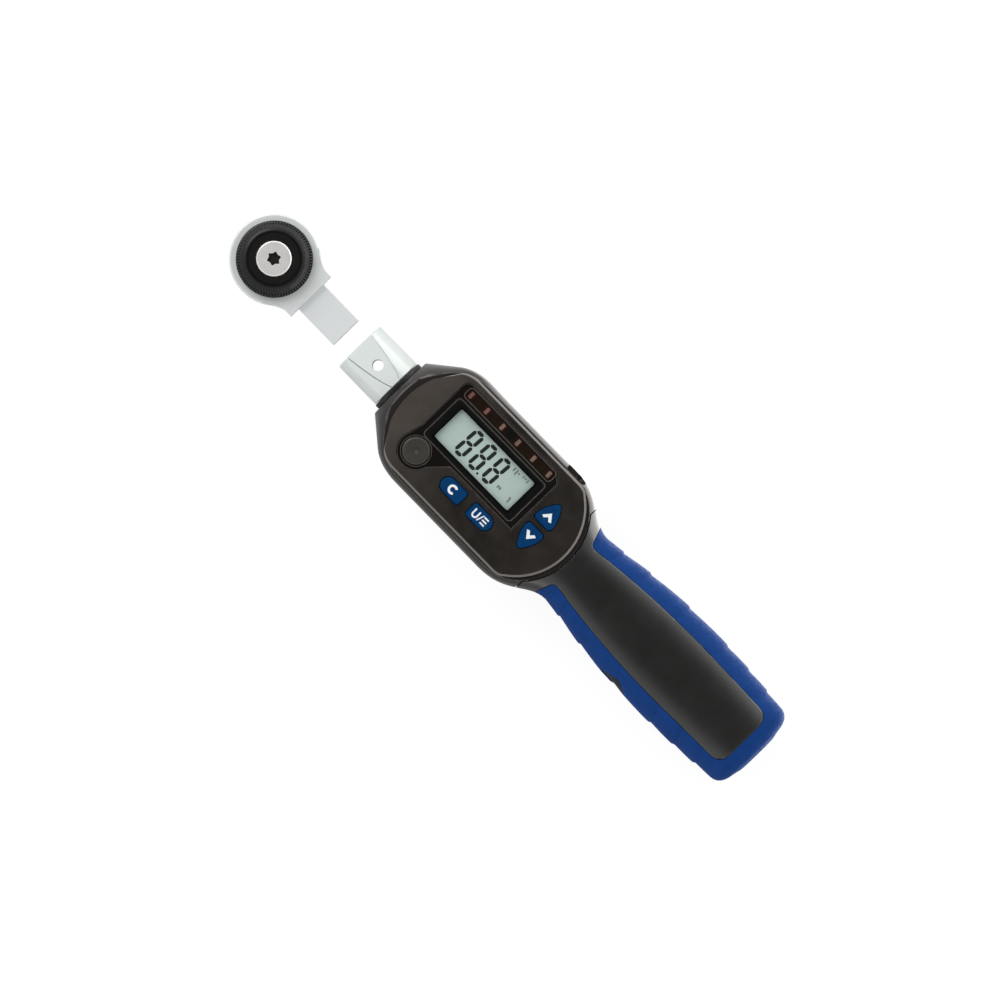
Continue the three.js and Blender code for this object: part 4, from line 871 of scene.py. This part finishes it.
def makeHandle():
    region = plate("region", housingRegion(gap), -40, 40)
    outer = cut(bodyLoft("outer", 75.9, bodyShape["end"], around=112, step=0.7, scaled=True),
                duplicate(region, "regionCopy"))
    smooth = cut(bodyLoft("smooth", 75.9, bodyShape["end"], around=112, step=1.2), region)
    panelTool = plate("panelTool", panelOutline(), -40, 40)
    core = cut(handleLoft("core", coreEnd, 2.2, 1.6), plate("region", housingRegion(gap), -40, 40))
    cavity = handleLoft("cavity", coreEnd - 2, 4.2, 3.6)
    shell = duplicate(smooth, "shell")
    keep(shell, duplicate(panelTool, "panelCopy"))
    join(shell, duplicate(core, "coreCopy"))
    cut(shell, cavity)
    tailRoom = block("tailRoom", 65, 127.1, -7.3, 7.3, -6.3, 6.3)
    for x in anchorX:
        boss = rod("boss", 4.6, -20, 20, centre=(x, 0, 0))
        join(shell, cut(keep(boss, duplicate(core, "coreCopy")), duplicate(tailRoom, "roomCopy")))
    for x in anchorX:
        cut(shell, rod("hole", 2.2, -20, 9.7, centre=(x, 0, 0)),
            rod("sink", 3.8, -20, -9.9, centre=(x, 0, 0)))
    front = duplicate(shell, "handlePanel")
    keep(front, slab(gap / 2, 40))
    back = keep(shell, slab(-40, -gap / 2))
    back.name = "handleBack"
    ring = plate("hatchTool", hatchOutline(), -40, -7.6)
    cut(ring, handleLoft("below", bodyShape["end"], 0, hatchShape["thickness"] + gap))
    cut(back, ring, plate("through", hatchOutline(0, hatchShape["ledge"]), -40, -7.6))
    lid = keep(duplicate(smooth, "batteryCover"), plate("lidTool", hatchOutline(-gap), -40, -7.6))
    cut(lid, handleLoft("inside", bodyShape["end"], 0, hatchShape["thickness"]))
    for obj in (tailRoom, panelTool, core):
        bpy.data.objects.remove(obj)
    cut(front, tongue("tongueRoom", 0.82, 1.75))
    cut(back, tongue("tongueRoom", 0.82, 1.75))
    sleeve = duplicate(outer, "gripSleeve")
    cut(sleeve, handleLoft("room", coreEnd + gap, 1.9, 1.3), plate("panelRoom", panelOutline(0.12), -40, 40),
        stadium(plugShape["gap"], 0, 40))
    plug = keep(stadium(0, 0, 40), bodyLoft("plugSkin", 120, 160, 0.75, 0.55, 96, 1.2))
    cut(plug, handleLoft("inner", coreEnd, 2.15, 1.55))
    plug.name = "portPlug"
    bpy.data.objects.remove(outer)
    bpy.data.objects.remove(smooth)
    roundEdges(front, 0.2, 2, clamp=False)
    roundEdges(lid, 0.3, 2, clamp=False)
    roundEdges(plug, 0.3, 2, clamp=False)
    standIn(front, "handle_front")
    standIn(back, "handle_back")
    standIn(lid, "battery_cover")
    standIn(sleeve, "grip_sleeve")
    standIn(plug, "port_plug")


makeHandle()
print("handle made")


# Front cover, window, display

levels = {"cover": 16.4, "panelBase": 14.8, "panelTop": 15.7, "bezelTop": 15.9, "lcdTop": 13.6}
bezelShape = {"x": 57.6, "y": 3.5, "length": 41.4, "width": 17.1, "endLip": 3.0, "sideLip": 1.95}
lightBar = {"x": 57.6, "y": 15.65, "length": 40.8, "width": 3.6}


def bezelPlan(endInset, sideInset, radius=0.6):
    dx = bezelShape["length"] / 2 - endInset
    dy = bezelShape["width"] / 2 - sideInset
    x, y = bezelShape["x"], bezelShape["y"]
    return roundedBox(x - dx, x + dx, y - dy, y + dy, radius)


def lightBarPlan(grow=0.0):
    dx, dy = lightBar["length"] / 2 + grow, lightBar["width"] / 2 + grow
    x, y = lightBar["x"], lightBar["y"]
    return roundedBox(x - dx, x + dx, y - dy, y + dy, 1 + grow)


def makeFront():
    cover = stacked("frontCover", (coverOutline(), deckLevel),
                    (coverOutline(), levels["cover"] - coverShape["drop"]),
                    (coverOutline(coverShape["edge"]), levels["cover"]))
    cut(cover, plate("pocket", windowOutline(), levels["panelBase"], 30),
        plate("opening", windowOutline(1.2), 0, 30),
        *[plate(name, keyOutline(name, 0.35), 0, 30) for name in softKeys])
    roundEdges(cover, 0.26, 1, levels["cover"], angle=60)
    slope = plate("slope", [(0, -40), (34, -40), (34, 40), (0, 40)], 0, 8)
    slope.data.transform(Matrix.Translation((34, 0, levels["cover"]))
                         @ Matrix.Rotation(math.radians(-4.5), 4, "Y")
                         @ Matrix.Translation((-34, 0, 0)))
    cut(cover, slope)
    standIn(cover, "front_cover")

    holes = [bezelPlan(-0.2, -0.2, 1.2), lightBarPlan(0.2), circle(*roundKeyAt, 5.15)]
    panel = plate("windowPanel", windowOutline(0.2), levels["panelBase"], levels["panelTop"], holes,
                  top=0.28, segments=2)
    standIn(panel, "window_panel")

    bezel = plate("displayBezel", bezelPlan(0, 0, 1), 9.6 + 1.2, levels["bezelTop"],
                  [bezelPlan(bezelShape["endLip"], bezelShape["sideLip"])], top=0.3, segments=1)
    cut(bezel, plate("lcdRoom", bezelPlan(1.5, 1.5), 5, 13.9),
        plate("lensRoom", bezelPlan(2.2, 1.15), 15.0, 30))
    standIn(bezel, "display_bezel")

    lens = plate("displayLens", bezelPlan(2.4, 1.35), 15.0, 15.6, top=0.15, segments=2)
    standIn(lens, "display_lens")
    bar = plate("lightBarLens", lightBarPlan(), levels["panelBase"], levels["bezelTop"], top=0.35)
    standIn(bar, "light_bar_lens")


makeFront()
print("front made")


# Marks of the display: slanted digits of seven bars, and faint signs beside them

digits = {"lefts": (47.4, 53.9, 60.4), "low": -2.0, "height": 11.3, "width": 4.6, "stroke": 1.3,
          "split": 0.22, "slant": 0.06, "thickness": 0.03}


def barOutline(length, stroke):
    tip = stroke / 2
    return [(0, 0), (tip, -tip), (length - tip, -tip), (length, 0), (length - tip, tip), (tip, tip)]


def digitBars(left):
    d = digits
    half = (d["height"] - d["stroke"]) / 2
    reach = d["width"] - d["stroke"] + 0.1
    inset = d["stroke"] / 2
    flat = [(inset, inset), (inset, inset + half), (inset, inset + 2 * half)]
    upright = [(x, inset + k * half) for x in (inset, d["width"] - inset) for k in (0, 1)]
    loops = []
    for x, y in flat:
        bar = barOutline(reach - 2 * d["split"], d["stroke"])
        loops.append([(x + d["split"] + bx, y + by) for bx, by in bar])
    for x, y in upright:
        bar = barOutline(half - 2 * d["split"], d["stroke"])
        loops.append([(x + by, y + d["split"] + bx) for bx, by in bar])
    return [[(left + x + d["slant"] * y, d["low"] + y) for x, y in loop] for loop in loops]


def marks(name, loops, low, thickness, nodes, finish, body=None):
    made = [plate(name, loop, low, low + thickness) for loop in loops]
    bm = bmesh.new()
    for obj in made:
        bm.from_mesh(obj.data)
        bpy.data.objects.remove(obj)
    return settle(fromBm(name, bm), nodes, finish, body=body)


def rectangle(x, y, length, width, turn=0.0):
    c, s = math.cos(math.radians(turn)), math.sin(math.radians(turn))
    corners = [(-length / 2, -width / 2), (length / 2, -width / 2),
               (length / 2, width / 2), (-length / 2, width / 2)]
    return [(x + c * dx - s * dy, y + s * dx + c * dy) for dx, dy in corners]


def makeDisplayMarks():
    low, thick = levels["lcdTop"] - 0.01, digits["thickness"]
    loops = [loop for left in digits["lefts"] for loop in digitBars(left)]
    loops.append(circle(59.15, -1.5, 0.42, 12))
    marks("displayDigits", loops, low, thick, "lcd_panel", inkDark)
    signs = [rectangle(67.0, 8.5, 0.45, 1.4), rectangle(68.2, 8.2, 0.45, 2.0), rectangle(69.2, 8.5, 0.7, 0.5),
             rectangle(71.0, 8.9, 0.4, 0.9), rectangle(72.0, 8.9, 0.9, 0.35), rectangle(73.1, 8.7, 0.4, 1.3)]
    signs += [rectangle(67.2, 0.4, 0.4, 1.2), rectangle(68.3, 0.4, 0.4, 1.2), rectangle(67.75, 0.6, 0.9, 0.35, -30),
              rectangle(73.1, -0.2, 0.45, 1.9), rectangle(72.9, 0.6, 0.9, 0.35)]
    marks("displaySigns", signs, low, thick, "lcd_panel", inkFaint)
    stop = rectangle(57.9, lightBar["y"], 3.0, 2.7)
    marks("lightStop", [stop], levels["bezelTop"] - 0.1, 0.12, "light_bar_lens", finishes["bezel_plastic"])


makeDisplayMarks()


# Keys and their signs

capTop = {"soft": 16.86, "round": 16.56}


def openRing(x, y, radius, stroke, start, end):
    outer, inner = Pen(0, 0), Pen(0, 0)
    outer.arc(x, y, radius, start, end, 24)
    inner.arc(x, y, radius - stroke, start, end, 24)
    return outer.points[1:] + inner.points[:0:-1]


def chevron(x, y, side, span=1.9, rise=2.6, stroke=1.15):
    points = [(-span - 0.2, 0), (0, rise), (span + 0.2, 0), (span - 0.75, -stroke * 0.35),
              (0, rise - stroke * 1.55), (0.75 - span, -stroke * 0.35)]
    return [(x + px, y + side * py) for px, py in points]


def makeKeys():
    low = 13.3
    for name in softKeys:
        cap = plate(name.replace("_", "") + "Cap", keyOutline(name), low, capTop["soft"], top=0.55, segments=4)
        flange = plate("flange", keyOutline(name, 0.9), low, low + 0.6)
        join(cap, flange)
        standIn(cap, name)
    x, y = roundKeyAt
    profile = [(0, low), (5.7, low), (5.7, low + 0.6), (4.8, low + 0.6), (4.8, 16.1), (4.66, 16.4),
               (4.3, capTop["round"]), (3.4, capTop["round"]), (2.2, 16.38), (0, 16.3)]
    round = turned("roundKeyCap", profile, 72, centre=(x, y, 0))
    join(round, turned("pip", [(0, 16.0), (0.6, 16.0), (0.6, 16.42), (0.42, 16.56), (0, 16.62)], 24,
                       centre=(x + 0.5, y - 0.3, 0)))
    standIn(round, "round_key")
    signs = {
        "clear_key": [openRing(57.3, softKey["y"], 1.75, 0.85, 42, 318)],
        "unit_key": [openRing(68.6, softKey["y"] - 0.45, 1.25, 0.62, 180, 360),
                     rectangle(67.66, softKey["y"] + 0.5, 0.62, 1.9), rectangle(69.54, softKey["y"] + 0.5, 0.62, 1.9),
                     rectangle(70.75, softKey["y"], 0.4, 3.1, -18),
                     rectangle(72.6, softKey["y"] + 1.2, 2.0, 0.55), rectangle(72.6, softKey["y"], 2.0, 0.55),
                     rectangle(72.6, softKey["y"] - 1.2, 2.0, 0.55)],
        "up_key": [chevron(arrowKey["x"], 4.6, 1)],
        "down_key": [chevron(arrowKey["x"], -2.6, -1)],
    }
    for name, loops in signs.items():
        marks(name.replace("_", "") + "Sign", loops, capTop["soft"] - 0.1, 0.13, name, inkWhite)


makeKeys()
print("keys made")


# Socket, seal and head

flatShape = {"radius": 9.85, "low": 8.0, "high": 9.65, "length": 17.9}


def makeSteel():
    f = flatShape
    beam = roundEdges(copied("holderBeam", "holder_beam"), 0.18, 2)
    for side, width in ((-1, 0.26), (1, 0.1)):  # the milled flat's edges
        edge = [(x, side * math.sqrt(f["radius"] ** 2 - (f["low"] + (f["high"] - f["low"]) * x / f["length"]) ** 2))
                for x in np.linspace(-0.2, f["length"] - 0.1, 24)]
        cut(beam, plate("edgeLine", edge + [(x, y - side * width) for x, y in edge[::-1]], f["low"] - 0.5, 12))
    standIn(beam, "holder_beam")
    standIn(roundEdges(copied("frontSeal", "front_seal"), 0.15, 2, angle=60), "front_seal")
    head = roundEdges(copied("headBody", "head_body"), 0.3, 3)
    standIn(head, "head_body")
    standIn(roundEdges(copied("driveSquare", "drive_gear"), 0.12, 2), "drive_gear")
    screw = roundEdges(copied("centreScrew", "centre_screw"), 0.12, 2)
    standIn(screw, "centre_screw", finish=screwHead)


makeSteel()
print("steel made")


# Dial, screws and lamps: shapes that repeat are set out by nodes

dialShape = {"radius": 13.15, "base": 7.5, "height": 6.4, "lip": 1.8, "waist": 12.7, "topRadius": 10.0,
             "groove": 9.0, "ribs": 80, "ribWidth": 0.4, "sunk": 0.85}
headX = -41.2
screwShape = {"radius": 1.3, "head": 2.7, "top": -12.5, "headHeight": 2.2, "reach": 7.5, "recess": 1.35,
              "size": (46.05, 35.0), "centre": (63.025, 0, 0)}
lampShape = {"x": 38.8, "step": 7.52, "count": 6, "y": 15.65, "foot": 10.85, "shoulder": 12.6, "top": 13.6,
             "length": 2.0, "width": 2.8, "lens": 1.25}


class ShapeNodes(Nodes):
    def __init__(self, name, pattern):
        super().__init__(bpy.data.node_groups.new(name, "GeometryNodeTree"))
        self.tree.interface.new_socket("Geometry", in_out="INPUT", socket_type="NodeSocketGeometry")
        self.tree.interface.new_socket("Geometry", in_out="OUTPUT", socket_type="NodeSocketGeometry")
        self.start = self.add("NodeGroupInput")
        self.end = self.add("NodeGroupOutput")
        self.named = {}
        self.pattern = pattern

    def given(self, name, kind, value):
        socket = self.tree.interface.new_socket(name, in_out="INPUT", socket_type=kind)
        self.named[socket.identifier] = value
        return Wire(self, self.start.outputs[name])

    # Copies of the pattern on the points, joined to the piece that they sit on
    def spread(self, points, turn, centre):
        shape = self.out("GeometryNodeObjectInfo", "Geometry", None, {"Object": self.pattern})
        placed = self.out("GeometryNodeInstanceOnPoints", 0, None,
                          {"Points": points, "Instance": shape, "Rotation": turn})
        moved = self.out("GeometryNodeTranslateInstances", 0, None,
                         {0: placed, "Translation": centre, "Local Space": False})
        both = self.add("GeometryNodeJoinGeometry")
        self.tree.links.new(self.start.outputs["Geometry"], both.inputs[0])
        self.tree.links.new(moved.socket, both.inputs[0])
        return Wire(self, both.outputs[0])

    def run(self, obj, wire, material):
        real = self.out("GeometryNodeRealizeInstances", 0, None, {0: wire})
        painted = self.out("GeometryNodeSetMaterial", 0, None, {0: real, "Material": material})
        self.tree.links.new(painted.socket, self.end.inputs[0])
        modifier = obj.modifiers.new("shapeNodes", "NODES")
        modifier.node_group = self.tree
        for identifier, value in self.named.items():
            modifier[identifier] = value
        return applied(obj)


def ribRing(body, rib, material, count):
    nodes = ShapeNodes("dialRibs", rib)
    number = nodes.given("Count", "NodeSocketInt", count)
    line = nodes.out("GeometryNodeMeshLine", 0, {"mode": "OFFSET"}, {"Count": number, "Offset": (0, 0, 0)})
    turn = nodes.out("GeometryNodeInputIndex", 0) * (2 * math.pi) / number
    angles = nodes.out("ShaderNodeCombineXYZ", 0, None, {"Z": turn})
    nodes.run(body, nodes.spread(line, angles, (0, 0, 0)), material)
    bpy.data.objects.remove(rib)


def makeScrews():
    s = screwShape
    head = s["top"] + s["headHeight"]
    shape = turned("screw", [(0, s["top"]), (s["head"] - 0.3, s["top"]), (s["head"], s["top"] + 0.3), (s["head"], head),
                             (s["radius"], head), (s["radius"], s["reach"] - 0.4), (s["radius"] - 0.4, s["reach"]),
                             (0, s["reach"])], 32)
    star = [((s["recess"] if i % 2 else s["recess"] * 0.66) * math.cos(i * math.pi / 6),
             (s["recess"] if i % 2 else s["recess"] * 0.66) * math.sin(i * math.pi / 6)) for i in range(12)]
    cut(shape, plate("star", star, s["top"] - 1, s["top"] + 1.3))
    nodes = ShapeNodes("caseScrews", shape)
    length = nodes.given("Length", "NodeSocketFloat", s["size"][0])
    width = nodes.given("Width", "NodeSocketFloat", s["size"][1])
    grid = nodes.out("GeometryNodeMeshGrid", 0, None,
                     {"Size X": length, "Size Y": width, "Vertices X": 2, "Vertices Y": 2})
    screws = fromBm("caseScrews", bmesh.new())
    nodes.run(screws, nodes.spread(grid, (0, 0, 0), s["centre"]), finishes["dark_steel"])
    bpy.data.objects.remove(shape)
    standIn(screws, *[f"case_screw_{i}" for i in range(1, 5)])


def makeLights():
    s = lampShape
    dx, dy = s["length"] / 2, s["width"] / 2
    shape = block("lamp", -dx, dx, -dy, dy, s["foot"], s["shoulder"])
    lens = plate("lens", roundedBox(-s["lens"] / 2, s["lens"] / 2, 0.2 - dy, dy - 0.2, 0.3),
                 s["shoulder"] - 0.4, s["top"], top=0.25)
    join(shape, lens)
    nodes = ShapeNodes("barLights", shape)
    number = nodes.given("Count", "NodeSocketInt", s["count"])
    step = nodes.given("Step", "NodeSocketVector", (s["step"], 0, 0))
    line = nodes.out("GeometryNodeMeshLine", 0, {"mode": "OFFSET"}, {"Count": number, "Offset": step})
    lights = fromBm("barLights", bmesh.new())
    nodes.run(lights, nodes.spread(line, (0, 0, 0), (s["x"], s["y"], 0)), finishes["led_body"])
    bpy.data.objects.remove(shape)
    standIn(lights, *[f"led_{i}" for i in range(1, 7)])


def ribShape(d, top):
    path = [(d["radius"] - 0.28, d["base"] + d["lip"] + 0.1), (d["waist"] + 0.02, top - 2.7),
            (d["waist"] - 0.9, top - 1.35), (d["topRadius"] + 0.75, top - 0.42)]
    bm = bmesh.new()
    rings = []
    for radius, z in path:
        half = d["ribWidth"] / 2
        rings.append([bm.verts.new(p) for p in (
            (radius - 1.2, -half, z - 0.1), (radius - 0.12, -half, z), (radius, 0, z + 0.02),
            (radius - 0.12, half, z), (radius - 1.2, half, z - 0.1))])
    for a, b in zip(rings, rings[1:]):
        for i in range(5):
            j = (i + 1) % 5
            bm.faces.new((a[i], a[j], b[j], b[i]))
    bm.faces.new(rings[0])
    bm.faces.new(rings[-1])
    return fromBm("dialRib", bm)


def makeDial():
    d = dialShape
    top = d["base"] + d["height"]
    s = d["sunk"]
    profile = [(2.9, d["base"]), (d["radius"] - 0.25, d["base"]), (d["radius"], d["base"] + 0.25),
               (d["radius"], d["base"] + d["lip"] - 0.2), (d["radius"] - 0.2, d["base"] + d["lip"]),
               (d["radius"] - 0.28 - s, d["base"] + d["lip"] + 0.15), (d["waist"] - s, top - 2.7),
               (d["waist"] - 0.9 - s, top - 1.45), (d["topRadius"] + 0.5, top - 0.35), (d["topRadius"], top - 0.1),
               (d["topRadius"] - 0.35, top), (d["groove"] + 0.25, top), (d["groove"] + 0.1, top - 0.3),
               (d["groove"] - 0.1, top - 0.3), (d["groove"] - 0.25, top), (6.55, top), (6.4, top - 0.15),
               (6.4, 12.6), (2.9, 12.6)]
    body = turned("reversingDial", profile, 120, closed=True)
    ribRing(body, ribShape(d, top), finishes["dial_black"], d["ribs"])
    body.data.transform(Matrix.Translation((headX, 0, 0)))
    standIn(body, "reversing_dial", sharp=40)


makeDial()
makeScrews()
makeLights()
print("dial, screws and lights made")


# Stage

cameraView = {"turn": 45.72, "fieldWidth": 0.3413, "distance": 2.5, "level": 0.016, "below": 0.00324}
lamps = {
    "side": {"size": 0.7, "power": 1.4, "place": (0.1, 0.85, 0.5)},
    "front": {"size": 0.6, "power": 3.2, "place": (-0.75, 0.1, 0.72)},
}
sky = {"zenith": 0.08, "shade": 0.35, "sides": 0.85, "dark": 0.955, "light": 0.82,
       "band": 2.6, "bandLow": 0.3, "bandHigh": 0.45}


def makeFloor():
    finish = Finish("studioFloor", Roughness=0.6)
    finish.feed("Base Color", finish.mixed(finish.noise(400, 1), paint(243, 243, 243), paint(246, 246, 247)))
    path = finish.add("ShaderNodeLightPath")
    rays = [Wire(finish, path.outputs[k]) for k in ("Is Camera Ray", "Is Glossy Ray", "Is Transmission Ray")]
    seen = finish.maths("MINIMUM", rays[0] + rays[1] + rays[2], 1.0)
    place = finish.add("ShaderNodeSeparateXYZ", None, {0: finish.point})
    sideways = (finish.span(Wire(finish, place.outputs[1]), 0.0, 1.0, -0.015, 0.02)
                * finish.span(Wire(finish, place.outputs[0]), 0.1, 1.0, -0.045, -0.02))
    mirrored = finish.mixed(sideways, (0.3, 0.3, 0.3, 1), (4.0, 3.9, 3.8, 1))
    colour = finish.mixed(rays[1], (1, 1, 1, 1), mirrored)
    white = finish.out("ShaderNodeEmission", 0, None, {"Color": colour, "Strength": 1.12})
    mix = finish.add("ShaderNodeMixShader", None, {0: seen * 0.8, 2: white})
    finish.tree.links.new(finish.shader.outputs[0], mix.inputs[1])
    below = finish.out("ShaderNodeNewGeometry", "Backfacing")  # clear from below, so the back can be seen
    clear = finish.add("ShaderNodeBsdfTransparent")
    sided = finish.add("ShaderNodeMixShader", None, {0: below})
    finish.tree.links.new(mix.outputs[0], sided.inputs[1])
    finish.tree.links.new(clear.outputs[0], sided.inputs[2])
    finish.tree.links.new(sided.outputs[0], finish.output.inputs[0])
    bm = bmesh.new()
    bmesh.ops.create_grid(bm, x_segments=1, y_segments=1, size=4)
    bmesh.ops.translate(bm, verts=bm.verts[:], vec=(0, 0, -1e-4))
    floor = fromBm("studioFloor", bm)
    floor.data.materials.append(finish.material)


def makeWorld():
    world = bpy.data.worlds.new("studio")
    scene.world = world
    world.use_nodes = True
    nodes = Nodes(world.node_tree)
    plain = next(n for n in nodes.tree.nodes if n.type == "BACKGROUND")
    way = nodes.out("ShaderNodeTexCoord", "Object")
    up = nodes.out("ShaderNodeSeparateXYZ", 2, None, {0: way})
    level = {0: up, 1: sky["light"], 2: sky["dark"], 3: sky["sides"], 4: sky["zenith"]}
    band = {0: up, 1: sky["bandLow"], 2: sky["bandHigh"], 3: sky["band"], 4: 0.0}
    settings = {"clamp": True}
    aside = nodes.out("ShaderNodeSeparateXYZ", 1, None, {0: way})
    lit = nodes.out("ShaderNodeMapRange", 0, {"clamp": True},
                    {0: aside, 1: -0.3, 2: 0.3, 3: sky["shade"], 4: 1.0})
    mirrored = nodes.out("ShaderNodeLightPath", "Is Glossy Ray") * lit
    brightness = (nodes.out("ShaderNodeMapRange", 0, settings, level)
                  + nodes.out("ShaderNodeMapRange", 0, settings, band) * mirrored)
    tone = nodes.out("ShaderNodeCombineXYZ", 0, None, {0: brightness, 1: brightness, 2: brightness})
    nodes.tree.links.new(tone.socket, plain.inputs["Color"])
    white = nodes.add("ShaderNodeBackground", None, {"Color": (1, 1, 1, 1), "Strength": 1.0})
    camera = nodes.out("ShaderNodeLightPath", "Is Camera Ray")
    mix = nodes.add("ShaderNodeMixShader", None, {0: camera})
    nodes.tree.links.new(plain.outputs[0], mix.inputs[1])
    nodes.tree.links.new(white.outputs[0], mix.inputs[2])
    output = next(n for n in nodes.tree.nodes if n.type == "OUTPUT_WORLD")
    nodes.tree.links.new(mix.outputs[0], output.inputs[0])


def makeLamps():
    for name, set in lamps.items():
        data = bpy.data.lights.new(name, "AREA")
        data.shape = "SQUARE"
        data.size = set["size"]
        data.energy = set["power"]
        obj = bpy.data.objects.new(name, data)
        obj.location = set["place"]
        obj.rotation_euler = Vector(set["place"]).to_track_quat("Z", "Y").to_euler()
        scene.collection.objects.link(obj)


def makeCamera():
    view = cameraView
    turn = math.radians(view["turn"])
    data = bpy.data.cameras.new("camera")
    data.sensor_width = 36
    data.lens = 36 * view["distance"] / view["fieldWidth"]
    data.clip_start, data.clip_end = 0.01, 20
    camera = bpy.data.objects.new("camera", data)
    camera.location = (view["below"] * math.sin(turn), -view["below"] * math.cos(turn),
                       view["level"] + view["distance"])
    camera.rotation_euler = (0, 0, turn)
    scene.collection.objects.link(camera)
    scene.camera = camera


makeFloor()
makeWorld()
makeLamps()
makeCamera()
scene.view_settings.view_transform = "Standard"

print("stage made")
